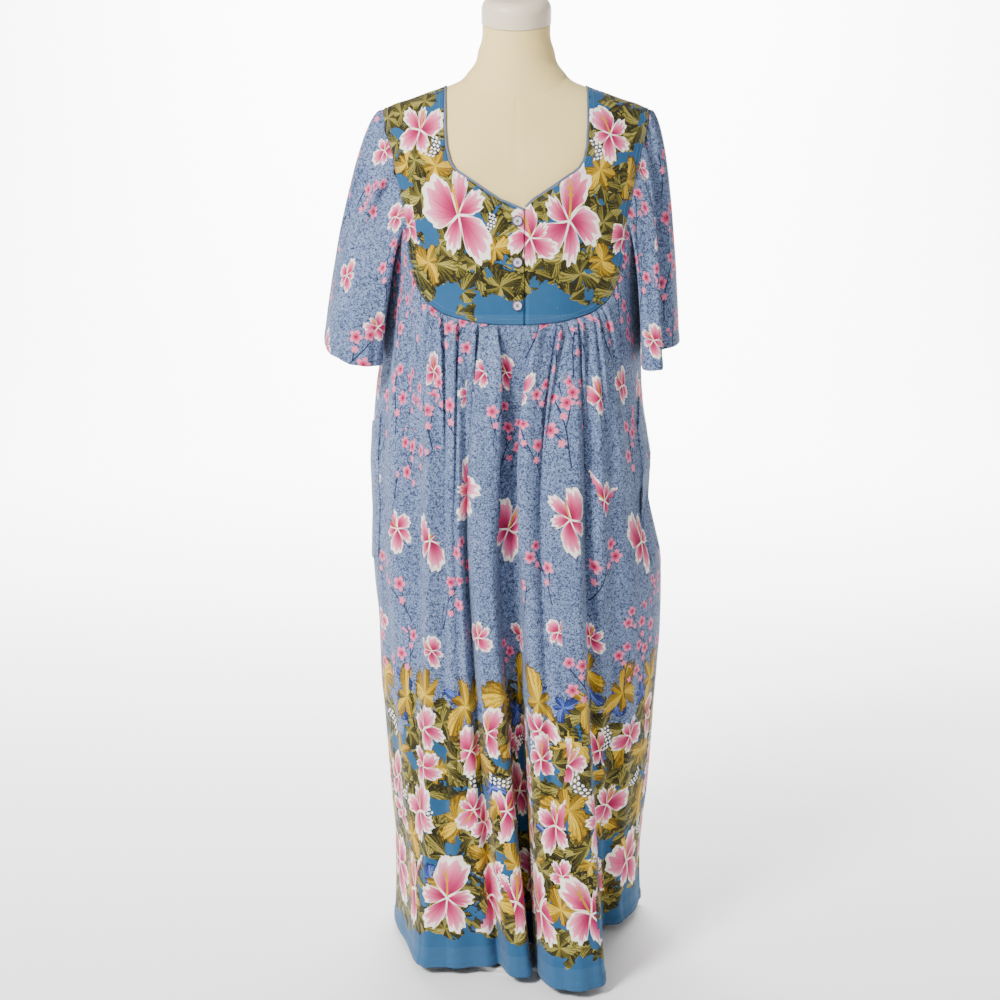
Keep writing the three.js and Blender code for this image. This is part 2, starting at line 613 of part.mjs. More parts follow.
// A pocket bag: one flat pouch that hangs behind the skirt front from the side seam.
function pocketWall(sign) {
  const half = frontSeam.total / 2;
  const stretch = half / Math.abs(frontFolds[0].along);
  const all = foldColumns(frontFolds, frontStep);
  const columns = sign < 0 ? all.slice(1, 1 + pocketColumns) : all.slice(-1 - pocketColumns, -1);
  const sheet = columns.map((fold) => {
    const { point, normal, out } = frontSeam.frame(half + fold.along * stretch);
    const top = point.clone().addScaledVector(out, seamGap).addScaledVector(normal, yokeLift + cloth);
    return skirtLevels.slice(...pocketLevels).map((level) => skirtPoint(fold, top, normal, level));
  });
  const normals = sheetNormals(sheet, false, 1);
  const moved = (inward) =>
    sheet.map((column, i) => column.map((point, j) => point.clone().addScaledVector(normals[i][j], -inward)));
  return wall(moved(cloth + pocketClear), moved(cloth + pocketClear + pocketThick));
}

// Where the side seams would run without their outline.
const rightFold = frontFolds[0];
const leftFold = frontFolds[frontFolds.length - 1];
const plainSides = {
  right: { top: -underarmFront[0].x, mid: rightFold.midX, hem: rightFold.hemX },
  left: { top: underarmFront[0].x, mid: leftFold.midX, hem: leftFold.hemX },
};

// A skirt point between the top seam, the middle level and the hem.
function skirtPoint(fold, top, normal, level) {
  const z = mix(top.z, hemHeight, level);
  const lift = fold.lift * mix(pleatAtSeam, 1, ramp(level, 0, pressed));
  const start = top.clone().addScaledVector(normal, lift);
  const upper = 1 - (1 - ramp(top.z - z, 0, top.z - midHeight)) ** 2;
  const lower = ramp(midHeight - z, 0, midHeight - hemHeight) ** 1.25;
  const x = mix(mix(start.x, fold.midX, upper), fold.hemX, lower);
  const y = mix(mix(start.y, fold.midY, upper), fold.hemY, lower);
  const sideOf = x < 0 ? "right" : "left";
  const side = plainSides[sideOf];
  const plain = mix(mix(side.top, side.mid, upper), side.hem, lower);
  const wanted = seamAt(z)[sideOf];
  const pull = smooth(ramp(Math.abs(x), Math.abs(plain) - seamReach, Math.abs(plain)));
  return vector(x + pull * (wanted - plain) * ramp(level, 0, sideEase), y, z);
}

// Armhole loops, from the shoulder through the front, under the arm and up the back.
const armhole = (sign) =>
  frames([
    ...edgeOf(sign < 0 ? rightYoke : leftYoke, 0, frontCorner),
    ...sided(underarmFront, sign).reverse(),
    ...sided(underarmBack, sign).slice(1),
    ...edgeOf(sign < 0 ? backYokeRight : backYokeLeft, backCorner, 0),
  ]);

const sleeveHem = 1 - hemTurn / sleeveLength;
const sleeveLevels = [0, 0.05, 0.11, 0.18, 0.28, 0.4, 0.55, 0.7, 0.85, sleeveHem, 1];

function sleeveWall(rows, sign, levels) {
  const loop = armhole(sign);
  const closed = [
    { ...rows[rows.length - 1], head: rows[rows.length - 1].head - 1 },
    ...rows,
    { ...rows[0], head: 1 },
    { ...rows[1], head: rows[1].head + 1 },
  ];
  const at = curvesOf(closed, closed.map((row) => row.head));
  const heads = sleeveHeads();
  const topNormals = [];
  const sheet = heads.map((head) => {
    const row = at(head);
    const length = THREE.MathUtils.clamp(head * loop.total, 0.2, loop.total - 0.2);
    const { point, normal, out } = loop.frame(length);
    out.multiplyScalar(-sign);
    topNormals.push(normal);
    const start = point.clone().addScaledVector(out, armholeGap);
    start.addScaledVector(normal, yokeLift + cloth / 2);
    const turn = Math.cos(2 * Math.PI * head);
    const leave = out.clone().multiplyScalar((sleeveSwell + sleeveSwellTop * turn) * row.puff);
    leave.addScaledVector(normal, (sleeveRise - sleeveRiseTop * turn) * mix(1, row.puff, 0.5));
    const end = vector(row.hemX, row.hemY, row.hemZ);
    const arrive = vector(sign * sleeveFlare, 0, -sleeveFall);
    return levels.map((level) => {
      const pleat = headPleat(head) * ramp(level, 0, 0.05) * (1 - ramp(level, 0.1, 0.4));
      return hermite(start, leave, end, arrive, level).addScaledVector(normal, pleat);
    });
  });
  const normals = sheetNormals(sheet, true, -sign);
  const face = (side) =>
    sheet.map((column, i) =>
      column.map((point, j) => {
        const thick = levels[j] >= sleeveHem ? hemCloth : cloth;
        return point.clone().addScaledVector(j === 0 ? topNormals[i] : normals[i][j], (side * thick) / 2);
      }),
    );
  return wall(face(1), face(-1), true);
}

// Closer columns over the pleats at the shoulder.
function sleeveHeads() {
  const fine = headPleats * 2;
  const coarse = sleeveCoarse;
  const heads = [];
  for (let i = 0; i < fine; i += 1) heads.push((headPleatReach * i) / fine);
  for (let i = 0; i < coarse; i += 1) heads.push(mix(headPleatReach, 1 - headPleatReach, i / coarse));
  for (let i = 0; i < fine; i += 1) heads.push(mix(1 - headPleatReach, 1, i / fine));
  return heads;
}

function headPleat(head) {
  const place = Math.min(head, 1 - head) / headPleatReach;
  if (place >= 1) return 0;
  return headPleatDeep * Math.cos(Math.PI * headPleats * place) * (1 - place ** 2);
}

function hermite(start, leave, end, arrive, t) {
  const made = vector(0, 0, 0);
  made.addScaledVector(start, 2 * t ** 3 - 3 * t ** 2 + 1);
  made.addScaledVector(leave, t ** 3 - 2 * t ** 2 + t);
  made.addScaledVector(end, 3 * t ** 2 - 2 * t ** 3);
  return made.addScaledVector(arrive, t ** 3 - t ** 2);
}

// The narrow binding: a flat strip along the neckline, from one side of the opening round to the other.
function bindingWall() {
  const neck = (curves, places) => places.map((place) => yokePoint(curves, place, 0));
  const path = [
    ...neck(rightYoke, frontPlaces(lastRight).reverse()),
    ...neck(backYokeRight, backPlaces.slice(1)),
    ...neck(backYokeLeft, backPlaces.slice(1, -1).reverse()),
    ...neck(leftYoke, frontPlaces(lastLeft)),
  ];
  const sheet = (offset) =>
    path.map((point, i) => {
      const along = path[Math.min(i + 1, path.length - 1)].clone().sub(path[Math.max(i - 1, 0)]).normalize();
      const normal = bodiceNormal(point);
      const out = along.cross(normal).normalize();
      const lift = offset - raisedFront(point.x);
      return [seamGap, seamGap + bindingWide].map((across) =>
        point.clone().addScaledVector(out, across).addScaledVector(normal, lift),
      );
    });
  return wall(sheet(yokeLift + cloth + 0.5), sheet(yokeLift + 0.1));
}

// Form: rings of points up the body and neck, closed below and at the tilted cut under the cap.
function formBody() {
  const sides = 32;
  const levels = [
    640, 680, 720, 770, 820, 870, 920, 955, 985, 1020, 1055, 1095, 1130, 1165, 1200, 1225, 1247, 1265,
    1280, 1291, 1300, 1309, 1318, 1326, 1334, 1350, 1375,
  ];
  const points = [];
  const ring = (height) => {
    for (let i = 0; i < sides; i += 1) {
      const angle = (2 * Math.PI * i) / sides;
      const flatY = Math.sin(angle);
      const cut = height === capSeam ? capTilt * neckDeep * flatY : 0;
      const section = formAt(height + cut);
      const deep = flatY < 0 ? section.front : section.back;
      const power = 2 / section.power;
      const x = section.half * Math.sign(Math.cos(angle)) * Math.abs(Math.cos(angle)) ** power;
      points.push(x, deep * Math.sign(flatY) * Math.abs(flatY) ** power, height + cut);
    }
  };
  for (const level of levels) ring(level);
  ring(capSeam);
  const rings = levels.length + 1;
  const faces = [];
  for (let j = 0; j < rings - 1; j += 1) {
    for (let i = 0; i < sides; i += 1) {
      const next = (i + 1) % sides;
      const [a, b, c, d] = [j * sides + i, j * sides + next, (j + 1) * sides + next, (j + 1) * sides + i];
      faces.push(a, b, c, a, c, d);
    }
  }
  const bottom = points.length / 3;
  points.push(0, 0, levels[0], 0, 0, capSeam);
  for (let i = 0; i < sides; i += 1) {
    const next = (i + 1) % sides;
    faces.push(bottom, next, i);
    faces.push(bottom + 1, (rings - 1) * sides + i, (rings - 1) * sides + next);
  }
  return solidFrom(points, faces);
}

// Cap of the neck: a low dome on the tilted cut.
function neckCap() {
  const profile = [
    new THREE.Vector2(0, 0),
    new THREE.Vector2(1.02, 0),
    new THREE.Vector2(1.03, 0.12),
    new THREE.Vector2(1.01, 0.55),
    new THREE.Vector2(0.93, 0.82),
    new THREE.Vector2(0.7, 0.95),
    new THREE.Vector2(0.35, 1),
    new THREE.Vector2(0, 1),
  ];
  const geometry = new THREE.LatheGeometry(profile, 36).rotateX(Math.PI / 2);
  const place = geometry.getAttribute("position");
  const neck = formAt(capSeam);
  for (let i = 0; i < place.count; i += 1) {
    const y = place.getY(i) * (place.getY(i) < 0 ? neck.front : neck.back);
    const z = capSeam + 2 * seamGap + capTilt * y + capRise * place.getZ(i);
    place.setXYZ(i, place.getX(i) * neck.half, y, z);
  }
  return geometry;
}

function turned(points, sides) {
  const profile = points.map(([radius, z]) => new THREE.Vector2(radius, z));
  return new THREE.LatheGeometry(profile, sides).rotateX(Math.PI / 2);
}

function basePlate() {
  return turned(
    [
      [0, 0],
      [baseRadius, 0],
      [baseRadius, baseThick - 3],
      [baseRadius - 4, baseThick],
      [socketRadius, baseThick + 2],
      [socketRadius - 3, socketTop],
      [0, socketTop],
    ],
    40,
  );
}

function pole() {
  const foot = socketTop + seamGap;
  const top = formSections[0].z - seamGap;
  return turned([[0, foot], [poleRadius, foot], [poleRadius, top], [0, top]], 24);
}

const library = await Module();
library.setup();

const solidOf = (geometry) => {
  const plain = geometry.clone();
  plain.deleteAttribute("normal");
  plain.deleteAttribute("uv");
  const merged = mergeVertices(plain, 1e-3);
  return new library.Manifold(
    new library.Mesh({
      numProp: 3,
      vertProperties: merged.getAttribute("position").array,
      triVerts: new Uint32Array(merged.index.array),
    }),
  );
};

const geometryOf = (solid) => {
  const mesh = solid.getMesh();
  const geometry = new THREE.BufferGeometry();
  geometry.setAttribute("position", new THREE.BufferAttribute(mesh.vertProperties, 3));
  geometry.setIndex(new THREE.BufferAttribute(mesh.triVerts, 1));
  return geometry;
};

// A button with a raised rim, a dished middle and four holes.
function button() {
  const disc = turned(
    [
      [0, 0],
      [buttonRadius - 0.8, 0],
      [buttonRadius, 0.9],
      [buttonRadius - 0.5, 2.3],
      [buttonRadius - 1.6, 2.6],
      [buttonRadius - 2.6, 1.7],
      [0, 1.6],
    ],
    20,
  );
  let made = solidOf(disc);
  const reach = 1.9;
  for (const angle of [45, 135, 225, 315].map(THREE.MathUtils.degToRad)) {
    const hole = new THREE.CylinderGeometry(0.9, 0.9, 6, 6).rotateX(Math.PI / 2);
    hole.translate(reach * Math.cos(angle), reach * Math.sin(angle), 1);
    made = made.subtract(solidOf(hole));
  }
  return geometryOf(made);
}

const finish = {
  print: new THREE.MeshStandardMaterial({ color: "#8ea6cf", roughness: 0.9, metalness: 0 }),
  border: new THREE.MeshStandardMaterial({ color: "#35688e", roughness: 0.9, metalness: 0 }),
  edge: new THREE.MeshStandardMaterial({ color: "#6f7f95", roughness: 0.85, metalness: 0 }),
  pearl: new THREE.MeshStandardMaterial({ color: "#e6dfea", roughness: 0.3, metalness: 0 }),
  linen: new THREE.MeshStandardMaterial({ color: "#e8dec0", roughness: 0.9, metalness: 0 }),
  cap: new THREE.MeshStandardMaterial({ color: "#e3d3bc", roughness: 0.6, metalness: 0 }),
  steel: new THREE.MeshStandardMaterial({ color: "#c9c7c2", roughness: 0.4, metalness: 0.8 }),
};

const dress = new THREE.Group();
const stand = new THREE.Group();

function add(group, name, geometry, material) {
  const mesh = new THREE.Mesh(geometry, material);
  mesh.name = name;
  group.add(mesh);
  return mesh;
}

const acrossFront = [0, 0.15, 0.35, 0.55, 0.78, 1];
const leftSink = (x) => raisedFront(x) + tucked(x);
const rightPanel = yokeWall(rightYoke, frontPlaces(lastRight), acrossFront, raisedFront);
const leftPanel = yokeWall(leftYoke, frontPlaces(leftYokeRows.length - 1), acrossFront, leftSink);
add(dress, "front_yoke_right", rightPanel, finish.border);
add(dress, "front_yoke_left", leftPanel, finish.border);

function backYokeWall() {
  const places = [0, 0.2, 0.45, 0.72, 1];
  const half = (curves, rows) =>
    rows.map((row) => places.map((across) => ({ curves, row, across })));
  const right = half(backYokeRight, backPlaces.slice(0, -1).reverse());
  const grid = [...half(backYokeLeft, backPlaces), ...right];
  const sheet = (offset) =>
    grid.map((column) =>
      column.map(({ curves, row, across }) => {
        const point = yokePoint(curves, row, across);
        return point.addScaledVector(bodiceNormal(point), offset);
      }),
    );
  return wall(sheet(yokeLift + cloth), sheet(yokeLift));
}
add(dress, "back_yoke", backYokeWall(), finish.border);
add(dress, "skirt_front", skirtWall(frontFolds, frontSeam, frontStep, skirtLevels), finish.print);
add(dress, "skirt_back", skirtWall(backFolds, backSeam, backStep, skirtLevels), finish.print);
add(dress, "sleeve_right", sleeveWall(rightSleeveRows, -1, sleeveLevels), finish.print);
add(dress, "sleeve_left", sleeveWall(leftSleeveRows, 1, sleeveLevels), finish.print);
add(dress, "pocket_right", pocketWall(-1), finish.print);
add(dress, "pocket_left", pocketWall(1), finish.print);
add(dress, "neck_binding", bindingWall(), finish.edge);

// Each button is seated where a ray along the bodice's normal meets the right yoke.
buttonHeights.forEach((height, i) => {
  const below = bodicePoint(buttonX, angleTo(buttonX, height, "front"));
  const normal = bodiceNormal(below);
  const away = below.clone().addScaledVector(normal, 30);
  const ray = new THREE.Raycaster(away, normal.clone().negate());
  const [seat] = ray.intersectObject(new THREE.Mesh(rightPanel));
  const mesh = add(dress, `button_${i + 1}`, button(), finish.pearl);
  mesh.quaternion.setFromUnitVectors(vector(0, 0, 1), normal);
  mesh.position.copy(seat.point).addScaledVector(normal, seamGap);
});

add(stand, "form_body", formBody(), finish.linen);
add(stand, "form_cap", neckCap(), finish.cap);
add(stand, "stand_pole", pole(), finish.steel);
add(stand, "stand_base", basePlate(), finish.steel);

const muumuu = new THREE.Group();
muumuu.add(dress, stand);
export default muumuu;
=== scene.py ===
import math

import bpy
import numpy as np
from mathutils import Matrix, Vector


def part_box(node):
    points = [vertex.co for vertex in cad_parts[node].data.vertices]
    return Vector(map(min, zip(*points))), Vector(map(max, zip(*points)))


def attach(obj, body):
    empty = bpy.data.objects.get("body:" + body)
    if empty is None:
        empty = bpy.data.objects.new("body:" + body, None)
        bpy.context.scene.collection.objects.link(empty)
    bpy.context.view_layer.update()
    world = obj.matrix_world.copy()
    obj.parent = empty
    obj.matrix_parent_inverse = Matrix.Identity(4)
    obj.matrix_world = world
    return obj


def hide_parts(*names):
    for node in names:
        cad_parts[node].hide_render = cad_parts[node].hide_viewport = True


# A muumuu dress on a limbless dress form. Tables are in millimetres, meshes in metres.
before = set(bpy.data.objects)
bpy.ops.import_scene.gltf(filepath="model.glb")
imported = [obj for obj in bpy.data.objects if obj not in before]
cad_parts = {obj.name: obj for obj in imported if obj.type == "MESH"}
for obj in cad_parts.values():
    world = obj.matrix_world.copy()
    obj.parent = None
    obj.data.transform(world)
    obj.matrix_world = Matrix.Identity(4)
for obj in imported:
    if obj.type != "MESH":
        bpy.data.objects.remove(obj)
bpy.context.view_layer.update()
print("frame loaded")

cloth, hemCloth, yokeLift, seamGap, armholeGap = 1.2, 2.4, 0.7, 0.3, 0.5
hemHeight, hemTurn, midHeight, yokeBottom = 15, 13, 700, 995
openingEdge, underlap, neckPoint = 10, 18, 1150
shoulderSeamY, castHeight, castRaise = 5, 1150, 112
capTilt, capSeam, neckDeep = 0.26, 1405, 50


def table(names, rows):
    return dict(zip(names.split(), np.array(rows, float).T))


formSections = table("z half front back power", [
    (640, 158, 84, 96, 2.3), (720, 164, 88, 102, 2.3), (820, 148, 86, 92, 2.3),
    (920, 122, 82, 76, 2.3), (985, 132, 98, 80, 2.3), (1055, 150, 116, 92, 2.3),
    (1130, 160, 102, 98, 2.3), (1200, 174, 84, 96, 2.2), (1240, 181, 75, 90, 2),
    (1265, 184, 69, 84, 1.8), (1280, 181, 66, 79, 1.65), (1291, 172, 64, 75, 1.6),
    (1300, 149, 62, 71, 1.6), (1309, 124, 60, 67, 1.7), (1318, 99, 58, 64, 1.8), (1334, 72, 55, 59, 2),
    (1367, 54, 51, 55, 2), (1399, 48, 48, 52, 2), (1425, 48, 48, 52, 2),
])
bodiceEase = table("z side front back", [
    (960, 66, 32, 40), (985, 54, 24, 34), (1055, 36, 5, 20), (1130, 24, 4, 9), (1200, 16, 3, 3),
    (1240, 15, 1, 1), (1265, 14, 0, 0), (1280, 14, 0, 0), (1291, 4, 1, 0), (1300, 0, 2, 0.5),
    (1318, 1, 2.5, 1),
])
frontYokeRows = table("neckX neckZ edgeX edgeZ", [
    (101, 9999, 188, 9999), (101, 1284, 184, 1262), (100, 1250, 176, 1235), (97, 1228, 170, 1208),
    (91, 1212, 164, 1180), (83, 1203, 158, 1155), (74, 1197, 154, 1132), (66, 1191.5, 151, 1102),
    (57, 1185.5, 146, 1071), (48, 1179.5, 136, 1041), (38, 1173, 116, 1018), (30, 1168, 92, 1006),
    (24, 1164, 60, 999),
])
backYokeRows = table("neckX neckZ edgeX edgeZ", [
    (101, 9999, 188, 9999), (98, 1303, 185, 1264), (93, 1294, 180, 1238), (85, 1287, 175, 1210),
    (75, 1281, 170, 1180), (63, 1277, 166, 1152), (48, 1275, 132, 1156), (32, 1274, 90, 1158),
    (16, 1273, 45, 1160), (0, 1273, 0, 1160),
])
underarmFront = table("x y z", [
    (178, 0, 1076), (173, -26, 1081), (165, -46, 1096), (158, -57, 1114),
])
underarmBack = table("x y z", [
    (178, 0, 1076), (175, 27, 1082), (171, 47, 1098), (168, 59, 1124),
])
frontFolds = table("along lift midX midY hemX hemY", [
    (-335, 0, -208, 22, -190, 60), (-300, 0, -203, -18, -181, 22), (-268, 0, -187, -52, -169, -14),
    (-238, 2, -169, -88, -158, -58), (-180, 0, -141, -94, -150, -86), (-123, 0, -133, -106, -144, -95),
    (-117, 5, -124, -125, -130, -102), (-101, 1, -101, -119, -105, -101),
    (-96, 5, -93, -130, -87, -105), (-80, 1, -88, -127, -64, -99), (-75, 5, -82, -136, -44, -99),
    (-52, 1, -73, -113, -25, -88), (-47, 5, -61, -137, -4, -131), (-36, 3, -45, -139, 12, -134),
    (-26, 1, -34, -130, 24, -119), (-21, 5, -28, -109, 17, -72), (-6, 5, -17, -103, 14, -36),
    (3, 5, -10, -102, 24, -20), (13, 5, -2, -103, 35, -38), (28, 5, 5, -109, 31, -74),
    (33, 1, 10, -131, 36, -114), (42, 3, 18, -139, 51, -160), (53, 5, 27, -135, 63, -170),
    (58, 1, 35, -127, 73, -172), (68, 3, 50, -140, 88, -177), (79, 5, 83, -139, 116, -167),
    (82, 3, 93, -128, 134, -138), (86, 1, 99, -106, 127, -42), (101, 5, 119, -120, 136, 30),
    (107, 1, 136, -100, 148, 44), (117, 5, 154, -91, 163, 46), (124, 0, 169, -66, 174, 60),
    (180, 0, 184, -40, 183, 74), (238, 2, 194, -14, 192, 92), (290, 0, 199, 8, 199, 112),
    (335, 0, 202, 26, 203, 130),
])
backFolds = table("along lift midX midY hemX hemY", [
    (-300, 0, 202, 27, 203, 131), (-262, 0, 203, 60, 208, 150), (-228, 0, 190, 82, 193, 163),
    (-185, 2, 178, 109, 180, 184), (-150, 0, 158, 106, 158, 172), (-121, 4, 134, 130, 139, 186),
    (-101, 0, 112, 120, 118, 181), (-96, 4, 99, 133, 92, 197), (-77, 0, 80, 118, 72, 170),
    (-72, 4, 66, 137, 58, 192), (-53, 0, 50, 124, 39, 187), (-48, 4, 38, 138, 20, 199),
    (-29, 0, 20, 122, 8, 174), (-23, 4, 9, 133, -3, 185), (4, 4, -8, 131, -17, 183),
    (24, 4, -23, 137, -37, 195), (30, 0, -36, 123, -52, 184), (49, 4, -48, 134, -63, 190),
    (55, 0, -65, 119, -82, 163), (73, 4, -80, 134, -95, 181), (79, 0, -93, 121, -109, 173),
    (97, 4, -108, 131, -125, 179), (103, 0, -126, 111, -140, 152), (121, 4, -143, 124, -156, 166),
    (150, 0, -163, 101, -171, 144), (185, 2, -182, 100, -186, 140), (228, 0, -196, 74, -187, 112),
    (262, 0, -207, 52, -192, 88), (300, 0, -208, 23, -190, 61),
])
sideSeams = table("z right left", [
    (1076, -178, 178), (1000, -186, 180), (926, -198, 183), (870, -206, 187), (820, -210, 195),
    (768, -213, 201), (725, -210, 197), (667, -214, 211), (600, -212, 221), (525, -206, 222),
    (457, -205, 220), (379, -200, 216), (240, -192, 210), (161, -187, 203), (100, -187, 200),
    (15, -190, 203),
])
rightSleeveRows = table("head puff hemX hemY hemZ", [
    (0, 1, -279, 4, 960), (0.06, 1, -272, -38, 951), (0.12, 0.9, -252, -70, 941),
    (0.2, 1, -226, -85, 933), (0.3, 0.9, -204, -78, 931), (0.4, 0.9, -192, -52, 934),
    (0.5, 1, -206, 2, 941), (0.6, 1, -204, 50, 946), (0.72, 1, -222, 84, 953),
    (0.85, 1, -256, 78, 959), (0.94, 1, -274, 45, 961),
])
leftSleeveRows = table("head puff hemX hemY hemZ", [
    (0, 0.8, 241, 25, 952), (0.04, 0.75, 229, -8, 949), (0.08, 0.2, 204, -28, 942),
    (0.13, 0.7, 209, -62, 931), (0.2, 0.9, 200, -86, 926), (0.3, 0.9, 184, -78, 925),
    (0.4, 0.9, 181, -50, 929), (0.5, 1, 190, 2, 936), (0.6, 1, 192, 45, 942), (0.72, 1, 206, 82, 949),
    (0.85, 1, 230, 78, 954), (0.94, 0.9, 241, 54, 954),
])


def mix(a, b, k):
    return a + (b - a) * k


def ramp(value, start, end):
    return np.clip((value - start) / (end - start), 0, 1)


def smooth(k):
    return k * k * (3 - 2 * k)


# A smooth curve through rows, level at each ridge and valley
def curveThrough(places, values):
    order = np.argsort(places, kind="stable")
    at, to = np.array(places, float)[order], np.array(values, float)[order]
    rise = np.diff(to) / np.diff(at)
    slope = np.zeros_like(to)
    slope[0], slope[-1] = rise[0], rise[-1]
    same = rise[:-1] * rise[1:] > 0
    both = np.where(same, rise[:-1] + rise[1:], 1)
    slope[1:-1] = np.where(same, 2 * rise[:-1] * rise[1:] / both, 0)

    def curve(place):
        place = np.clip(place, at[0], at[-1])
        i = np.clip(np.searchsorted(at, place, side="left") - 1, 0, len(at) - 2)
        wide = at[i + 1] - at[i]
        k = (place - at[i]) / wide
        start = to[i] + k * wide * slope[i]
        end = to[i + 1] - (1 - k) * wide * slope[i + 1]
        return mix(start, end, smooth(k))

    return curve


def curvesOf(rows, places):
    made = {key: curveThrough(places, column) for key, column in rows.items()}
    return lambda place: {key: curve(place) for key, curve in made.items()}


formAt = curvesOf(formSections, formSections["z"])
easeAt = curvesOf(bodiceEase, bodiceEase["z"])
seamAt = curvesOf(sideSeams, sideSeams["z"])

# The bodice's half sizes at every quarter of a millimetre of height
perMillimetre = 4
bodiceLevels = np.arange(600, 1460, 1 / perMillimetre)
form, ease = formAt(bodiceLevels), easeAt(bodiceLevels)
bodiceSizes = np.stack([
    form["half"] + ease["side"], form["front"] + ease["front"], form["back"] + ease["back"], form["power"],
])


# Below zero inside the bodice, above zero outside it
def outsideBodice(x, y, z):
    place = np.clip((z - bodiceLevels[0]) * perMillimetre, 0, len(bodiceLevels) - 1.01)
    below = place.astype(int)
    half, front, back, power = mix(bodiceSizes[:, below], bodiceSizes[:, below + 1], place - below)
    return (np.abs(x) / half) ** power + (np.abs(y) / np.where(y < 0, front, back)) ** power - 1


def unit(v):
    return v / np.maximum(np.linalg.norm(v, axis=-1, keepdims=True), 1e-12)


def bodiceNormal(p):
    x, y, z = p[..., 0], p[..., 1], p[..., 2]
    h = 0.5
    return unit(np.stack([
        outsideBodice(x + h, y, z) - outsideBodice(x - h, y, z),
        outsideBodice(x, y + h, z) - outsideBodice(x, y - h, z),
        outsideBodice(x, y, z + h) - outsideBodice(x, y, z - h),
    ], axis=-1))


def castStart(x):
    return castHeight + castRaise * ramp(np.abs(x), 150, 190)


# Where a ray in the plane of x meets the bodice: angle 0 is the front and 90 degrees is up
def bodicePoint(x, angle):
    x, angle = np.broadcast_arrays(np.asarray(x, float), np.asarray(angle, float))
    start, stepY, stepZ = castStart(x), -np.cos(angle), np.sin(angle)
    near, far = np.zeros(x.shape), np.full(x.shape, 3.0)
    active = np.ones(x.shape, bool)
    while active.any():
        active = active & (far < 400) & (outsideBodice(x, far * stepY, start + far * stepZ) < 0)
        near = np.where(active, far, near)
        far = np.where(active, far + 3, far)
    for _ in range(26):
        middle = (near + far) / 2
        inside = outsideBodice(x, middle * stepY, start + middle * stepZ) < 0
        near, far = np.where(inside, middle, near), np.where(inside, far, middle)
    return np.stack([x, near * stepY, start + near * stepZ], axis=-1)


# The ray's angle to a height, no higher than the shoulder seam
def angleTo(x, z, side):
    front = side == "front"
    seamY = shoulderSeamY + (-seamGap / 2 if front else seamGap / 2)
    low, high = np.full(x.shape, math.pi / 3), np.full(x.shape, 2 * math.pi / 3)
    for _ in range(36):
        middle = (low + high) / 2
        below = bodicePoint(x, middle)[..., 1] < seamY
        low, high = np.where(below, middle, low), np.where(below, high, middle)
    seam = (low + high) / 2
    top = bodicePoint(x, seam)[..., 2]
    upper, lower = seam, np.full(x.shape, math.radians(-80 if front else 260))
    for _ in range(36):
        middle = (upper + lower) / 2
        above = bodicePoint(x, middle)[..., 2] > z
        upper, lower = np.where(above, middle, upper), np.where(above, lower, middle)
    return np.where(z >= top, seam, (upper + lower) / 2)


def yokeCurves(rows, side):
    neck = bodicePoint(rows["neckX"], angleTo(rows["neckX"], rows["neckZ"], side))
    edge = bodicePoint(rows["edgeX"], angleTo(rows["edgeX"], rows["edgeZ"], side))
    cast = dict(zip("nx ny nz ex ey ez".split(), np.hstack([neck, edge]).T))
    return curvesOf(cast, np.arange(len(neck)))


def yokePoint(curves, row, across):
    at = curves(row)
    x, y, z = (mix(at["n" + axis], at["e" + axis], across) for axis in "xyz")
    return bodicePoint(x, np.arctan2(z - castStart(x), -y))


def joined(*tables):
    return {key: np.concatenate([rows[key] for rows in tables]) for key in tables[0]}


def mirrored(rows):
    return {key: -column if key.endswith("X") else column for key, column in rows.items()}


rightEdge = table("neckX neckZ edgeX edgeZ", [
    (-14, neckPoint + 10, -26, yokeBottom + 0.5), (-2, neckPoint + 5, -6, yokeBottom),
    (openingEdge, neckPoint, openingEdge, yokeBottom),
])
leftEdge = table("neckX neckZ edgeX edgeZ", [
    (openingEdge + 9, neckPoint + 9.5, openingEdge + 14, yokeBottom + 0.5),
    (openingEdge + 3, neckPoint + 4, openingEdge + 3, yokeBottom),
    (openingEdge - 6, neckPoint, openingEdge - 6, yokeBottom),
    (openingEdge - underlap, neckPoint - 1, openingEdge - underlap, yokeBottom),
])
frontCorner, backCorner = 6, 5
rightYokeRows = joined(mirrored(frontYokeRows), rightEdge)
leftYokeRows = joined(frontYokeRows, leftEdge)
lastRight, lastLeft, backCentre = len(rightYokeRows["neckX"]) - 1, len(leftYokeRows["neckX"]) - 3, 9
rightYoke, leftYoke = yokeCurves(rightYokeRows, "front"), yokeCurves(leftYokeRows, "front")
backYokeRight = yokeCurves(mirrored(backYokeRows), "back")
backYokeLeft = yokeCurves(backYokeRows, "back")
overlapSink = cloth + 3 * seamGap


def raisedFront(x):
    return -overlapSink * smooth(ramp(np.abs(x), 98, 60))


def tucked(x):
    return overlapSink * smooth(ramp(x, openingEdge + 7, openingEdge + 2))


# Distances run along one axis of a grid of points, from its first point
def runAlong(points, axis=0):
    steps = np.linalg.norm(np.diff(points, axis=axis), axis=-1)
    return np.insert(np.cumsum(steps, axis=axis), 0, 0, axis=axis)


# A seam line with the bodice's normal along it, found by distance
def seamLine(points):
    lengths = runAlong(points)
    keep = np.concatenate([[True], np.diff(lengths) > 1e-6])
    axes = [curveThrough(lengths[keep], points[keep, axis]) for axis in range(3)]

    def place(length):
        return np.stack([axis(length) for axis in axes], axis=-1)

    def at(length):
        point = place(length)
        along = unit(place(length + 1) - place(length - 1))
        normal = bodiceNormal(point)
        return point, normal, unit(np.cross(along, normal))

    return lengths[-1], at


def edgeOf(curves, start, end):
    rows = np.linspace(start, end, round(abs(end - start) / 0.5) + 1)
    return yokePoint(curves, rows, np.ones(len(rows)))


def sided(rows, sign, back=False):
    points = np.stack([sign * rows["x"], rows["y"], rows["z"]], axis=-1)
    return points[::-1] if back else points


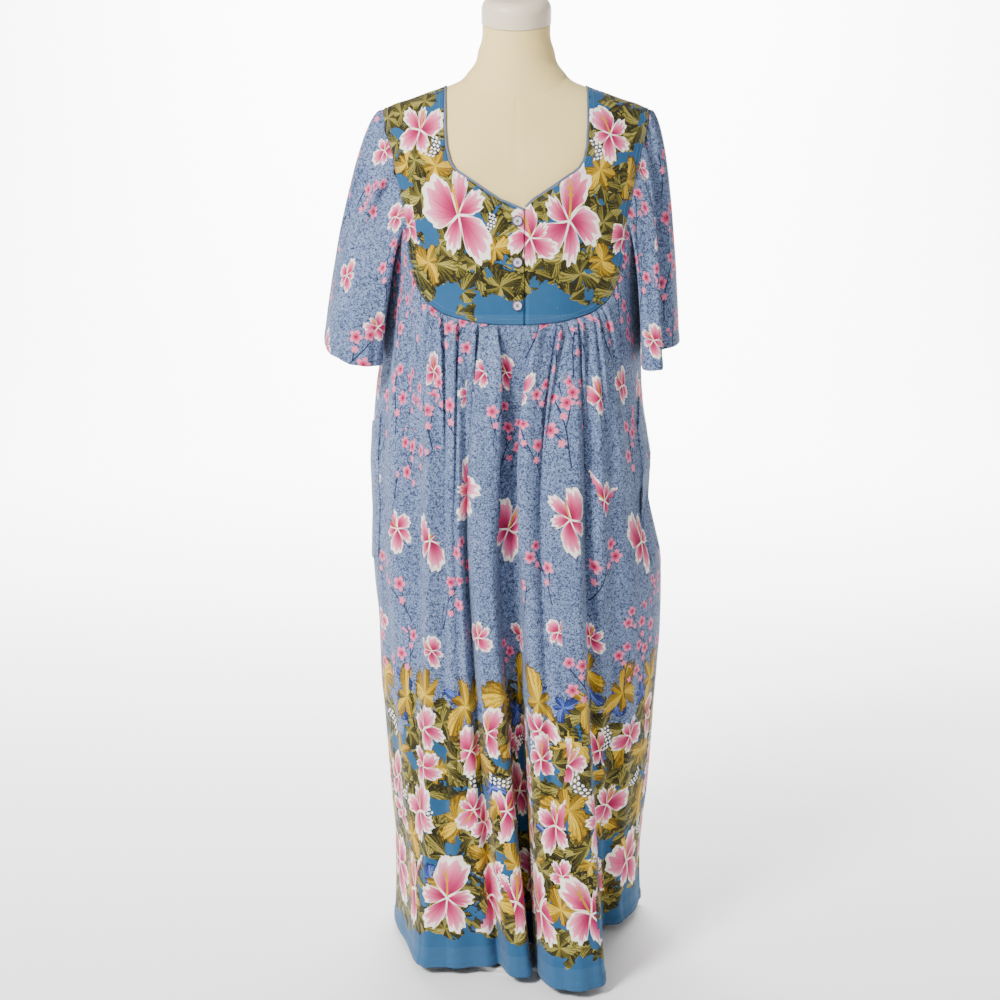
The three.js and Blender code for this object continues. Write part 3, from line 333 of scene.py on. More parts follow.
frontSeam = seamLine(np.concatenate([
    sided(underarmFront, -1), edgeOf(rightYoke, frontCorner, lastRight),
    edgeOf(leftYoke, lastLeft, frontCorner)[1:], sided(underarmFront, 1, True),
]))
backSeam = seamLine(np.concatenate([
    sided(underarmBack, 1), edgeOf(backYokeLeft, backCorner, backCentre),
    edgeOf(backYokeRight, backCentre, backCorner)[1:], sided(underarmBack, -1, True),
]))


def armhole(sign):
    front, back = (rightYoke, backYokeRight) if sign < 0 else (leftYoke, backYokeLeft)
    return seamLine(np.concatenate([
        edgeOf(front, 0, frontCorner), sided(underarmFront, sign, True),
        sided(underarmBack, sign)[1:], edgeOf(back, backCorner, 0),
    ]))


# The outward normal at each point of a sheet, from its neighbours
def sheetNormals(sheet, tube=False):
    if tube:
        before, after = np.roll(sheet, 1, axis=0), np.roll(sheet, -1, axis=0)
    else:
        before = np.concatenate([sheet[:1], sheet[:-1]])
        after = np.concatenate([sheet[1:], sheet[-1:]])
    above = np.concatenate([sheet[:, :1], sheet[:, :-1]], axis=1)
    below = np.concatenate([sheet[:, 1:], sheet[:, -1:]], axis=1)
    return unit(np.cross(after - before, below - above))


print("curves of the bodice ready")


# Distances along the cloth: across each row from its first column, and up each column from its hem
def chartOf(sheet, tube=False):
    grid = np.concatenate([sheet, sheet[:1]]) if tube else sheet
    across, up = runAlong(grid), runAlong(grid[:, ::-1], 1)[:, ::-1]
    return {"across": across, "up": up, "middle": across[len(sheet) // 2], "tube": tube}


# Where each point of the cloth lies as seen from the middle of a motif at column i and row j
def seenFrom(chart, i, j):
    across, up = chart["across"], chart["up"]
    wide = across - across[i]
    if chart["tube"]:
        wide = wide - across[-1] * np.round(wide / across[-1])
    return wide, up - up[i, j]


def corners(values):
    return np.stack([values[:-1, :-1], values[:-1, 1:], values[1:, 1:], values[1:, :-1]], axis=-1)


farAway, motifReach = 9.0, 1.12  # in motif radii


# One printed layer: each face keeps where its corners lie in the motif that covers it
class Layer:
    def __init__(self, chart):
        shape = np.array(chart["across"].shape) - 1
        self.chart, self.free = chart, np.ones(shape, bool)
        self.local = np.full((*shape, 4, 3), farAway)

    def put(self, wide, high, size, turn, kind, flip, clear, slim):
        c, s = math.cos(turn), math.sin(turn)
        x = corners((c * wide + s * high) / size)
        y = corners((c * high - s * wide) / size / slim * flip)
        near = np.hypot(x, y).min(axis=-1)
        mine = (near < motifReach) & self.free
        self.local[mine] = np.stack([x[mine], y[mine], np.full(x[mine].shape, kind)], axis=-1)
        self.free &= near > motifReach * clear

    # Motifs at free places where allowed, until none is left or the count is reached
    def scatter(self, random, allowed, count, sizes, turns, clear, slims):
        for _ in range(count):
            places = np.argwhere(self.free & allowed)
            if not len(places):
                break
            i, j = places[random.integers(len(places))]
            size, turn, kind = (random.uniform(*ends) for ends in (sizes, turns, (0, 9)))
            flip = random.choice([-1, 1])
            self.put(*seenFrom(self.chart, i, j), size, turn, kind, flip, clear, random.uniform(*slims))


# Layers filled from rows of a table; sprigs keep off the flowers
def scattered(chart, seed, rows):
    random = np.random.default_rng(seed)
    up = corners(chart["up"]).mean(axis=-1)
    layers = {row[0]: Layer(chart) for row in rows}
    for key, low, high, count, *looks in rows:
        allowed = (up > low) & (up < high)
        if key == "sprigs":
            allowed &= layers["hibiscusBack"].free
        layers[key].scatter(random, allowed, count, *looks)
    return layers


def pieceFrom(name, points, faces, smooth=True):
    mesh = bpy.data.meshes.new(name)
    mesh.from_pydata((points * 0.001).tolist(), [], faces)
    mesh.polygons.foreach_set("use_smooth", np.full(len(faces), smooth))
    mesh.update()
    piece = bpy.data.objects.new(name, mesh)
    bpy.context.scene.collection.objects.link(piece)
    return piece


# A thin shell between two sheets of points. A tube's last column joins its first.
def shellMesh(name, outer, inner, chart, layers):
    columns, rows = outer.shape[:2]
    spans = columns if chart["tube"] else columns - 1
    i, j = np.meshgrid(np.arange(spans), np.arange(rows - 1), indexing="ij")
    count = columns * rows
    backwards = [0, 3, 2, 1]

    def at(i, j):
        return (i % columns) * rows + j

    def rim(a, b, c, d):
        return np.stack([a, b, c, d], axis=-1)

    ring = rim(at(i, j), at(i, j + 1), at(i + 1, j + 1), at(i + 1, j)).reshape(-1, 4)
    k, last = np.arange(spans), rows - 1
    rims = [
        rim(at(k, 0), at(k + 1, 0), at(k + 1, 0) + count, at(k, 0) + count),
        rim(at(k, last), at(k, last) + count, at(k + 1, last) + count, at(k + 1, last)),
    ]
    if not chart["tube"]:
        k, end = np.arange(rows - 1), columns - 1
        rims.append(rim(at(0, k), at(0, k) + count, at(0, k + 1) + count, at(0, k + 1)))
        rims.append(rim(at(end, k), at(end, k + 1), at(end, k + 1) + count, at(end, k) + count))
    faces = np.concatenate([ring, ring[:, backwards] + count, *rims])
    points = np.concatenate([outer.reshape(-1, 3), inner.reshape(-1, 3)])
    a, b, c = points[faces[:, 0]], points[faces[:, 1]], points[faces[:, 2]]
    turned = (a * np.cross(b, c)).sum() < 0
    order = [3, 2, 1, 0] if turned else [0, 1, 2, 3]
    piece = pieceFrom(name, points, faces[:, order].tolist())
    extra = len(faces) - 2 * len(ring)
    for key, layer in layers.items():
        local = layer.local.reshape(-1, 4, 3)
        values = np.concatenate([local, local[:, backwards], np.full((extra, 4, 3), farAway)])
        attribute = piece.data.attributes.new(key, "FLOAT_VECTOR", "CORNER")
        attribute.data.foreach_set("vector", values[:, order].astype(np.float32).ravel())
    flat = [corners(chart["across"] - chart["middle"]), corners(chart["up"])]
    flat = np.stack(flat, axis=-1).reshape(-1, 4, 2) * 0.01
    rimFlat = np.stack([np.zeros((extra, 4)), np.full((extra, 4), 0.05)], axis=-1)
    flat = np.concatenate([flat, flat[:, backwards], rimFlat])
    layer = piece.data.uv_layers.new(name="cloth")
    layer.data.foreach_set("uv", flat[:, order].astype(np.float32).ravel())
    return piece


def finishPiece(piece, material, slot, *nodes):
    piece.data.materials.clear()
    piece.data.materials.append(material)
    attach(piece, "root")
    if nodes:
        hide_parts(*nodes)
    return piece


def linear(text):
    parts = [int(text[k:k + 2], 16) / 255 for k in (1, 3, 5)]
    return [v / 12.92 if v <= 0.04045 else ((v + 0.055) / 1.055) ** 2.4 for v in parts] + [1]


def emptyMaterial(name):
    material = bpy.data.materials.new(name)
    material.use_nodes = True
    material.node_tree.nodes.clear()
    return material, material.node_tree


def addNode(tree, kind, settings=None, links=None):
    node = tree.nodes.new(kind)
    for key, value in (settings or {}).items():
        setattr(node, key, value)
    for key, value in (links or {}).items():
        if isinstance(value, bpy.types.NodeSocket):
            tree.links.new(value, node.inputs[key])
        else:
            node.inputs[key].default_value = value
    return node


# Works through rows of (name, operation, values), where a value may be the name of an earlier row
def worked(tree, known, rows):
    known = dict(known)
    for name, operation, *values in rows:
        inputs = {k: known[v] if isinstance(v, str) else v for k, v in enumerate(values)}
        known[name] = addNode(tree, "ShaderNodeMath", {"operation": operation}, inputs).outputs[0]
    return known


# Ink over a base where share is 1: one colour, or (place, colour) shades that tone chooses from
def inked(tree, base, share, ink, tone=None):
    if tone is not None:
        shades = addNode(tree, "ShaderNodeValToRGB", None, {0: tone})
        elements = shades.color_ramp.elements
        for place, _ in ink[2:]:
            elements.new(place)
        for element, (place, colour) in zip(elements, ink):
            element.position = place
            element.color = linear(colour)
        ink = shades.outputs[0]
    base, ink = (linear(colour) if isinstance(colour, str) else colour for colour in (base, ink))
    return addNode(tree, "ShaderNodeMix", {"data_type": "RGBA"}, {0: share, 6: base, 7: ink}).outputs[2]


# The motifs, each drawn in its own plane, whose radius is 1. The angle runs unevenly and curls outwards.
polar = [
    ("xx", "MULTIPLY", "x", "x"), ("rr", "MULTIPLY_ADD", "y", "y", "xx"), ("r", "SQRT", "rr"),
    ("plain", "ARCTAN2", "y", "x"),
    ("bendAt1", "ADD", "plain", "kind"), ("bend1", "SINE", "bendAt1"),
    ("bendAt2", "MULTIPLY_ADD", "plain", 2, "kind"), ("bend2", "SINE", "bendAt2"),
    ("angle1", "MULTIPLY_ADD", "bend1", 0.22, "plain"), ("angle2", "MULTIPLY_ADD", "bend2", 0.13, "angle1"),
    ("curlAt", "MULTIPLY", "kind", 5), ("curl", "SINE", "curlAt"), ("curled", "MULTIPLY", "curl", "r"),
    ("angle", "MULTIPLY_ADD", "curled", 0.4, "angle2"),
]


def lobes(count):
    return [
        ("turns", "MULTIPLY_ADD", "angle", count / (2 * math.pi), 2.5 * count), ("whole", "FLOOR", "turns"),
        ("part", "SUBTRACT", "turns", "whole"), ("off", "SUBTRACT", "part", 0.5),
        ("aside", "ABSOLUTE", "off"),
        ("lobe", "FLOORED_MODULO", "whole", count), ("seed", "MULTIPLY_ADD", "lobe", 2.4, "kind"),
        ("wave", "SINE", "seed"),
    ]


# Five ruffled petals of uneven length with a wide pale rim, dark streaks from the throat and a stamen
hibiscus = polar + lobes(5) + [
    ("arch", "MULTIPLY", "aside", math.pi), ("cosine", "COSINE", "arch"), ("round", "POWER", "cosine", 0.5),
    ("long", "MULTIPLY_ADD", "wave", 0.15, 0.8),
    ("ruffleAt", "MULTIPLY_ADD", "off", 29, "seed"), ("ruffle", "SINE", "ruffleAt"),
    ("frillAt", "MULTIPLY_ADD", "off", 71, "kind"), ("frill", "SINE", "frillAt"),
    ("petal", "MULTIPLY_ADD", "round", 0.78, 0.22), ("edge1", "MULTIPLY", "petal", "long"),
    ("edge2", "MULTIPLY_ADD", "ruffle", 0.038, "edge1"), ("edge", "MULTIPLY_ADD", "frill", 0.012, "edge2"),
    ("share", "DIVIDE", "r", "edge"), ("mask", "LESS_THAN", "share", 1),
    ("streakAt", "MULTIPLY_ADD", "off", 55, "kind"), ("fringe", "SINE", "streakAt"),
    ("rimAt", "MULTIPLY_ADD", "fringe", 0.035, "share"), ("rimFrom", "MULTIPLY_ADD", "ruffle", 0.03, 0.85),
    ("rim", "GREATER_THAN", "rimAt", "rimFrom"), ("toSide", "SUBTRACT", 0.5, "aside"),
    ("fromSide", "MULTIPLY", "toSide", "r"), ("line", "LESS_THAN", "fromSide", 0.018),
    ("pale", "MAXIMUM", "rim", "line"), ("lit", "MULTIPLY_ADD", "off", 0.4, "share"),
    ("tone", "MULTIPLY_ADD", "fringe", 0.06, "lit"), ("fade", "MULTIPLY_ADD", "share", -1.25, 1.1),
    ("streak", "MULTIPLY", "fringe", "fade"), ("streaks", "MAXIMUM", "streak", 0),
    ("sag", "MULTIPLY_ADD", "xx", -0.3, "y"), ("sagWide", "ABSOLUTE", "sag"),
    ("thin", "LESS_THAN", "sagWide", 0.03),
    ("ahead", "GREATER_THAN", "x", 0.02), ("short", "LESS_THAN", "x", 0.56),
    ("both", "MULTIPLY", "ahead", "short"),
    ("stalk", "MULTIPLY", "both", "thin"), ("grainAt", "MULTIPLY", "x", 62), ("grain1", "SINE", "grainAt"),
    ("grainUp", "MULTIPLY", "sag", 62), ("grain2", "COSINE", "grainUp"),
    ("grain", "MULTIPLY", "grain1", "grain2"),
    ("pollen1", "GREATER_THAN", "grain", 0.1), ("tipAt", "SUBTRACT", "x", 0.5),
    ("tipFar", "ABSOLUTE", "tipAt"),
    ("tipNear", "LESS_THAN", "tipFar", 0.13), ("tipThin", "LESS_THAN", "sagWide", 0.08),
    ("tip", "MULTIPLY", "tipNear", "tipThin"), ("pollen", "MULTIPLY", "pollen1", "tip"),
    ("stamen", "MAXIMUM", "stalk", "pollen"),
]

# A clump of pointed, jagged leaves of uneven length, each with one half in shade
leafClump = polar + lobes(5) + [
    ("arch", "MULTIPLY", "aside", math.pi), ("cosine", "COSINE", "arch"), ("slim", "POWER", "cosine", 0.9),
    ("point", "MULTIPLY_ADD", "slim", 0.64, 0.36), ("long", "MULTIPLY_ADD", "wave", 0.26, 0.78),
    ("edge1", "MULTIPLY", "point", "long"),
    ("edge", "MULTIPLY_ADD", "jag", 0.42, "edge1"), ("share", "DIVIDE", "r", "edge"),
    ("mask", "LESS_THAN", "share", 1),
    ("veinAt", "MULTIPLY_ADD", "off", 46, "jagWide"), ("vein", "SINE", "veinAt"), ("half", "SIGN", "off"),
    ("tone1", "MULTIPLY_ADD", "half", 0.17, 0.48), ("tone2", "MULTIPLY_ADD", "vein", 0.17, "tone1"),
    ("tone3", "MULTIPLY_ADD", "share", -0.3, "tone2"), ("tone", "MULTIPLY_ADD", "wave", 0.1, "tone3"),
    ("ribAt", "MULTIPLY", "aside", "r"), ("rib", "LESS_THAN", "ribAt", 0.007),
    ("rimmed", "GREATER_THAN", "share", 0.9),
]
sprigSlim = 0.62


# A small five-petalled blossom at a place of the sprig
def blossomAt(key, x, y, size):
    return [
        (key + "1", "SUBTRACT", "x", x), (key + "x", "MULTIPLY", key + "1", sprigSlim),
        (key + "y", "SUBTRACT", "y", y), (key + "xx", "MULTIPLY", key + "x", key + "x"),
        (key + "rr", "MULTIPLY_ADD", key + "y", key + "y", key + "xx"), (key + "r", "SQRT", key + "rr"),
        (key + "a", "ARCTAN2", key + "y", key + "x"), (key + "n", "MULTIPLY_ADD", key + "a", 2.5, "kind"),
        (key + "c", "COSINE", key + "n"), (key + "d", "ABSOLUTE", key + "c"),
        (key + "w", "POWER", key + "d", 0.6),
        (key + "e", "MULTIPLY_ADD", key + "w", 0.62 * size, 0.38 * size),
        (key, "LESS_THAN", key + "r", key + "e"),
        (key + "m", "LESS_THAN", key + "r", 0.22 * size), (key + "h", "LESS_THAN", key + "r", 0.5 * size),
    ]


# A twig of the sprig between two heights, which leaves the stem at x and leans
def twigAt(key, x, low, high, lean):
    return [
        (key + "1", "MULTIPLY_ADD", "y", -lean, "aslant"), (key + "2", "ADD", key + "1", lean * low - x),
        (key + "3", "ABSOLUTE", key + "2"), (key + "4", "LESS_THAN", key + "3", 0.026),
        (key + "5", "SUBTRACT", "y", (low + high) / 2), (key + "6", "ABSOLUTE", key + "5"),
        (key + "7", "LESS_THAN", key + "6", (high - low) / 2), (key, "MULTIPLY", key + "4", key + "7"),
    ]


# Three blossoms and two buds on one thin curved stem with twigs
sprig = [
    ("swayAt", "MULTIPLY_ADD", "y", 2.1, "kind"), ("sway", "SINE", "swayAt"),
    ("aslant", "MULTIPLY_ADD", "sway", -0.16, "x"),
    *twigAt("main", 0, -0.95, 0.8, 0), *twigAt("left", 0, -0.5, 0.02, -0.9),
    *twigAt("right", 0, 0.0, 0.5, 0.95), *blossomAt("one", -0.42, 0.1, 0.2),
    *blossomAt("two", 0.48, 0.58, 0.19), *blossomAt("three", 0.02, 0.84, 0.17),
    *blossomAt("bud", 0.22, 0.3, 0.1), *blossomAt("low", -0.16, -0.3, 0.11),
    ("stem1", "MAXIMUM", "left", "right"), ("stem", "MAXIMUM", "stem1", "main"),
    ("pair", "MAXIMUM", "one", "two"),
    ("buds", "MAXIMUM", "bud", "low"), ("many", "MAXIMUM", "pair", "three"),
    ("bloom", "MAXIMUM", "many", "buds"),
    ("hearts", "MAXIMUM", "onem", "twom"), ("heart", "MAXIMUM", "hearts", "threem"),
    ("throats", "MAXIMUM", "oneh", "twoh"), ("throat", "MAXIMUM", "throats", "threeh"),
]

# White berries in a bent double row
berries = [
    ("x2", "MULTIPLY", "x", "x"), ("row", "MULTIPLY_ADD", "x2", -0.5, "y"),
    ("across", "MULTIPLY_ADD", "x", 3.4, 20),
    ("cell", "FLOOR", "across"), ("fx", "SUBTRACT", "across", "cell"), ("ox", "SUBTRACT", "fx", 0.5),
    ("stagger", "MULTIPLY", "cell", 0.5), ("up", "MULTIPLY_ADD", "row", 3.4, "stagger"),
    ("lift", "ADD", "up", 20),
    ("cellY", "FLOOR", "lift"), ("fy", "SUBTRACT", "lift", "cellY"), ("oy", "SUBTRACT", "fy", 0.5),
    ("o2", "MULTIPLY", "ox", "ox"), ("oo", "MULTIPLY_ADD", "oy", "oy", "o2"), ("o", "SQRT", "oo"),
    ("band0", "ABSOLUTE", "row"), ("band1", "LESS_THAN", "band0", 0.34), ("end0", "ABSOLUTE", "x"),
    ("end1", "LESS_THAN", "end0", 0.82), ("band", "MULTIPLY", "band1", "end1"),
    ("dot0", "LESS_THAN", "o", 0.36),
    ("dot", "MULTIPLY", "dot0", "band"), ("halo0", "LESS_THAN", "o", 0.5),
    ("halo", "MULTIPLY", "halo0", "band"),
]

printColours = {
    "speckGround": ("#62759B", "#8799BB"), "speckMark": "#0F1738",
    "deepGround": "#174A72", "hemGround": "#2E587D",
    "olive": ("#1F1C07", "#4A4415", "#7E7430", "#B9AC62"), "oliveEdge": "#191706",
    "gold": ("#6A5006", "#A07C0E", "#C8A01C", "#E6CC58"), "goldEdge": "#4E3C06",
    "navy": ("#182452", "#2C3F82", "#4960AE", "#8797D2"), "navyEdge": "#151E44",
    "pinks": ("#8E1243", "#BC3062", "#DC6289", "#EC9DB2"), "petalRim": "#F6ECDE", "streak": "#861640",
    "stamen": "#C08A22", "blossom": "#E27694", "throat": "#C8446F", "heart": "#901C42",
    "stem": "#1C2440", "berry": "#F8F6F2", "halo": "#232C4C",
}
shadePlaces = (0.08, 0.36, 0.62, 0.9)


# The part of the print that a local plane holds: (x, y) and a number that varies the motif
def plane(tree, key):
    local = addNode(tree, "ShaderNodeAttribute", {"attribute_name": key}).outputs["Vector"]
    split = addNode(tree, "ShaderNodeSeparateXYZ", None, {0: local})
    return {"x": split.outputs[0], "y": split.outputs[1], "kind": split.outputs[2]}


def paintHibiscus(tree, base, key):
    c = printColours
    drawn = worked(tree, plane(tree, key), hibiscus)
    flower = inked(tree, base, 1.0, list(zip(shadePlaces, c["pinks"])), drawn["tone"])
    flower = inked(tree, flower, drawn["streaks"], c["streak"])
    flower = inked(tree, flower, drawn["pale"], c["petalRim"])
    flower = inked(tree, flower, drawn["stamen"], c["stamen"])
    return inked(tree, base, drawn["mask"], flower)


def paintLeaves(tree, base, known, tones, edge, allowed):
    ragged = addNode(tree, "ShaderNodeTexNoise", {"noise_dimensions": "2D"}, {
        "Vector": known["cloth"], "Scale": 19.0, "Detail": 2.0,
    })
    known = worked(tree, {**known, "n": ragged.outputs[0]}, [
        ("jag", "SUBTRACT", "n", 0.5), ("jagWide", "MULTIPLY", "jag", 7),
    ])
    drawn = worked(tree, known, leafClump)
    leaf = inked(tree, base, 1.0, list(zip(shadePlaces, tones)), drawn["tone"])
    leaf = inked(tree, leaf, drawn["rib"], tones[2])
    leaf = inked(tree, leaf, drawn["rimmed"], edge)
    here = worked(tree, {**drawn, "allowed": allowed}, [("here", "MULTIPLY", "mask", "allowed")])["here"]
    return inked(tree, base, here, leaf)


# Overlapping clumps over the whole ground, one to a cell
def leafCells(tree, uv, wide, shift):
    moved = addNode(tree, "ShaderNodeVectorMath", {"operation": "MULTIPLY_ADD"}, {
        0: uv, 1: (100 / wide,) * 3, 2: (shift, shift * 0.7, 0),
    }).outputs[0]
    cell = addNode(tree, "ShaderNodeTexVoronoi", {"voronoi_dimensions": "2D"}, {
        "Vector": moved, "Scale": 1.0,
    })
    local = addNode(tree, "ShaderNodeVectorMath", {"operation": "SUBTRACT"}, {
        0: moved, 1: cell.outputs["Position"],
    })
    hue = addNode(tree, "ShaderNodeSeparateColor", None, {0: cell.outputs["Color"]}).outputs[0]
    turn = worked(tree, {"hue": hue}, [("turn", "MULTIPLY", "hue", 6.28)])["turn"]
    spun = addNode(tree, "ShaderNodeVectorRotate", {"rotation_type": "Z_AXIS"}, {
        "Vector": local.outputs[0], "Angle": turn,
    })
    grown = addNode(tree, "ShaderNodeVectorMath", {"operation": "SCALE"}, {0: spun.outputs[0], "Scale": 1.12})
    split = addNode(tree, "ShaderNodeSeparateXYZ", None, {0: grown.outputs[0]})
    return {"x": split.outputs[0], "y": split.outputs[1], "kind": turn, "cloth": uv}


def paintSprigs(tree, base, key):
    c = printColours
    local = plane(tree, key)
    drawn = worked(tree, {**local, "x": local["y"], "y": local["x"]}, sprig)
    base = inked(tree, base, drawn["stem"], c["stem"])
    petals = inked(tree, c["blossom"], drawn["throat"], c["throat"])
    petals = inked(tree, petals, drawn["heart"], c["heart"])
    return inked(tree, base, drawn["bloom"], petals)


def paintBerries(tree, base, key):
    drawn = worked(tree, plane(tree, key), berries)
    base = inked(tree, base, drawn["halo"], printColours["halo"])
    return inked(tree, base, drawn["dot"], printColours["berry"])


# Scales of the cotton's patterns, each in repeats to a metre or to 100 mm of cloth
cottonSettings = {
    "cloud": 16.0, "squiggle": 290.0, "deepCloud": 28.0, "crease": 22.0, "thread": 17.0,
    "clumps": ((72, 0.0), (60, 5.3), (50, 9.1)),
}


# Printed plain-weave cotton: matt, soft, with a fine weave that takes the light at its threads.
# Threads are about 0.35 mm apart and drawn at 0.9 mm, so that they show.
def printedCotton(name, border, keys):
    c, s = printColours, cottonSettings
    material, tree = emptyMaterial(name)
    uv = addNode(tree, "ShaderNodeUVMap", {"uv_map": "cloth"}).outputs[0]
    place = addNode(tree, "ShaderNodeTexCoord").outputs["Object"]
    up = addNode(tree, "ShaderNodeSeparateXYZ", None, {0: uv}).outputs[1]

    # Speckled ground: short dark squiggles, about 4 mm apart, on light blue
    cloud = addNode(tree, "ShaderNodeTexNoise", None, {"Vector": place, "Scale": s["cloud"], "Detail": 3.0})
    squiggle = addNode(tree, "ShaderNodeTexNoise", None, {
        "Vector": place, "Scale": s["squiggle"], "Detail": 0.6, "Distortion": 0.8,
    })
    marks = worked(tree, {"n": squiggle.outputs[0]}, [
        ("mid", "SUBTRACT", "n", 0.5), ("far", "ABSOLUTE", "mid"), ("near", "MULTIPLY_ADD", "far", -8, 1),
        ("dark", "MAXIMUM", "near", 0), ("soft", "MULTIPLY", "dark", 0.95),
    ])["soft"]
    colour = inked(tree, c["speckGround"][0], cloud.outputs[0], c["speckGround"][1])
    colour = inked(tree, colour, marks, c["speckMark"])
    grain = addNode(tree, "ShaderNodeTexNoise", None, {
        "Vector": place, "Scale": s["deepCloud"], "Detail": 4.0,
    })
    deep = inked(tree, c["deepGround"], grain.outputs[0], c["hemGround"])
    if border:
        rows = border(tree, uv, up)
        colour = inked(tree, colour, rows["inside"], deep)
        colour = inked(tree, colour, rows["band"], c["hemGround"])
        for wide, shift in s["clumps"]:
            cells = leafCells(tree, uv, wide, shift)
            colour = paintLeaves(tree, colour, cells, c["olive"], c["oliveEdge"], rows["leafy"])
    for key in keys:
        if key in ("gold", "navy"):
            clump = {**plane(tree, key), "cloth": uv}
            colour = paintLeaves(tree, colour, clump, c[key], c[key + "Edge"], 1.0)
        elif key.startswith("hibiscus"):
            colour = paintHibiscus(tree, colour, key)
        elif key == "sprigs":
            colour = paintSprigs(tree, colour, key)
        else:
            colour = paintBerries(tree, colour, key)

    # The weave and a little fuzz, over soft uneven creases
    threads = {"Vector": uv, "Scale": s["thread"], "Distortion": 0.6, "Detail": 1.0}
    warp = addNode(tree, "ShaderNodeTexWave", {"bands_direction": "X"}, threads)
    weft = addNode(tree, "ShaderNodeTexWave", {"bands_direction": "Y"}, threads)
    crease = addNode(tree, "ShaderNodeTexNoise", None, {
        "Vector": place, "Scale": s["crease"], "Detail": 3.0, "Roughness": 0.55,
    })
    relief = worked(tree, {"warp": warp.outputs[1], "weft": weft.outputs[1], "crease": crease.outputs[0]}, [
        ("weave", "MULTIPLY", "warp", "weft"), ("fine", "MULTIPLY", "weave", 0.12),
        ("height", "MULTIPLY_ADD", "crease", 1.0, "fine"), ("rough", "MULTIPLY_ADD", "weave", -0.08, 0.9),
    ])
    bump = addNode(tree, "ShaderNodeBump", None, {
        "Strength": 0.4, "Distance": 0.004, "Height": relief["height"],
    })
    shader = addNode(tree, "ShaderNodeBsdfPrincipled", None, {
        "Base Color": colour, "Roughness": relief["rough"], "Normal": bump.outputs[0], "Sheen Weight": 0.1,
        "Sheen Roughness": 0.5, "Specular IOR Level": 0.2,
    })
    addNode(tree, "ShaderNodeOutputMaterial", None, {"Surface": shader.outputs[0]})
    return material


# Soft troughs (or ridges, where deep is negative) along the cloth, each at a share of its columns and rows
def creased(sheet, chart, rows):
    normals = sheetNormals(sheet, chart["tube"])
    shift = np.zeros(sheet.shape[:2])
    for column, row, length, width, deep, lean in rows:
        i, j = round(column * (sheet.shape[0] - 1)), round(row * (sheet.shape[1] - 1))
        wide, high = (part[:sheet.shape[0]] for part in seenFrom(chart, i, j))
        c, s = math.cos(math.radians(lean)), math.sin(math.radians(lean))
        aside, along = c * wide + s * high, c * high - s * wide
        shift -= deep * np.exp(-(aside / width) ** 2) * smooth(np.clip(1.2 - np.abs(along / length), 0, 1))
    return sheet + normals * shift[..., None]


# Columns closer together in the pleated middle than at the sides
def foldColumns(rows, settings):
    wide = np.maximum(np.hypot(np.diff(rows["midX"]), np.diff(rows["midY"])), 4)
    places = np.concatenate([[0], np.cumsum(wide)])
    step = np.where(np.abs(rows["along"][:-1]) < settings["pleated"], settings["fine"], settings["step"])
    cost = np.concatenate([[0], np.cumsum(wide / step)])
    return curvesOf(rows, places)(np.interp(np.linspace(0, cost[-1], round(cost[-1]) + 1), cost, places))


# Distances between columns in millimetres, half the pleated width, rows of points and seeds
skirtFrontSettings = {
    "step": 4.4, "fine": 2.2, "pleated": 125, "rows": 108, "seed": 4, "gatherWide": 13, "gatherSeed": 3,
}
skirtBackSettings = {
    "step": 4.8, "fine": 2.8, "pleated": 125, "rows": 96, "seed": 9, "gatherWide": 15, "gatherSeed": 5,
}
# Where pleats open, side seams begin and how far they pull, and how much of a pleat is left at the yoke
pressed, sideEase, seamReach, pleatAtSeam = 0.012, 0.05, 90, 0.3
topShare, topRows, hemShare, hemRows = 0.05, 13, 1.6 * (hemTurn / 1000), 9
upperFall, lowerFall = 2, 1.25
plainSides = ((-178, 178), (-208, 202), (-190, 203))  # at the seam, the middle and the hem


def skirtSheet(rows, seam, settings):
    total, at = seam
    fold = foldColumns(rows, settings)
    folded = fold["along"]
    along = total / 2 + fold["along"] * total / 2 / abs(rows["along"][0])
    along[0], along[-1] = seamGap / 2, total - seamGap / 2
    point, normal, out = at(np.clip(along, 0, total))
    top = point + out * seamGap + normal * (yokeLift + cloth)
    level = np.concatenate([
        np.linspace(0, topShare, topRows)[:-1], np.linspace(topShare, 1 - hemShare, settings["rows"])[:-1],
        np.linspace(1 - hemShare, 1, hemRows),
    ])[None, :]
    fold = {key: column[:, None] for key, column in fold.items()}
    z = mix(top[:, None, 2], hemHeight, level)
    lift = fold["lift"] * mix(pleatAtSeam, 1, ramp(level, 0, pressed))
    start = top[:, None] + normal[:, None] * lift[..., None]
    upper = 1 - (1 - ramp(top[:, None, 2] - z, 0, top[:, None, 2] - midHeight)) ** upperFall
    lower = ramp(midHeight - z, 0, midHeight - hemHeight) ** lowerFall
    x = mix(mix(start[..., 0], fold["midX"], upper), fold["hemX"], lower)
    y = mix(mix(start[..., 1], fold["midY"], upper), fold["hemY"], lower)
    right = x < 0
    ends = [np.where(right, first, last) for first, last in plainSides]
    plain = mix(mix(ends[0], ends[1], upper), ends[2], lower)
    outline = seamAt(z)
    wanted = np.where(right, outline["right"], outline["left"])
    pull = smooth(ramp(np.abs(x), np.abs(plain) - seamReach, np.abs(plain)))
    x = x + pull * (wanted - plain) * ramp(level, 0, sideEase)
    return np.stack([x, y, z], axis=-1), normal, folded


def thickness(up):
    return mix(cloth, hemCloth, ramp(up, hemTurn + 1.5, hemTurn - 1))[..., None]


def skirtShell(name, sheet, topNormal, chart, layers):
    inward = sheetNormals(sheet)
    inward[:, 0] = topNormal
    return shellMesh(name, sheet, sheet - inward * thickness(chart["up"]), chart, layers)


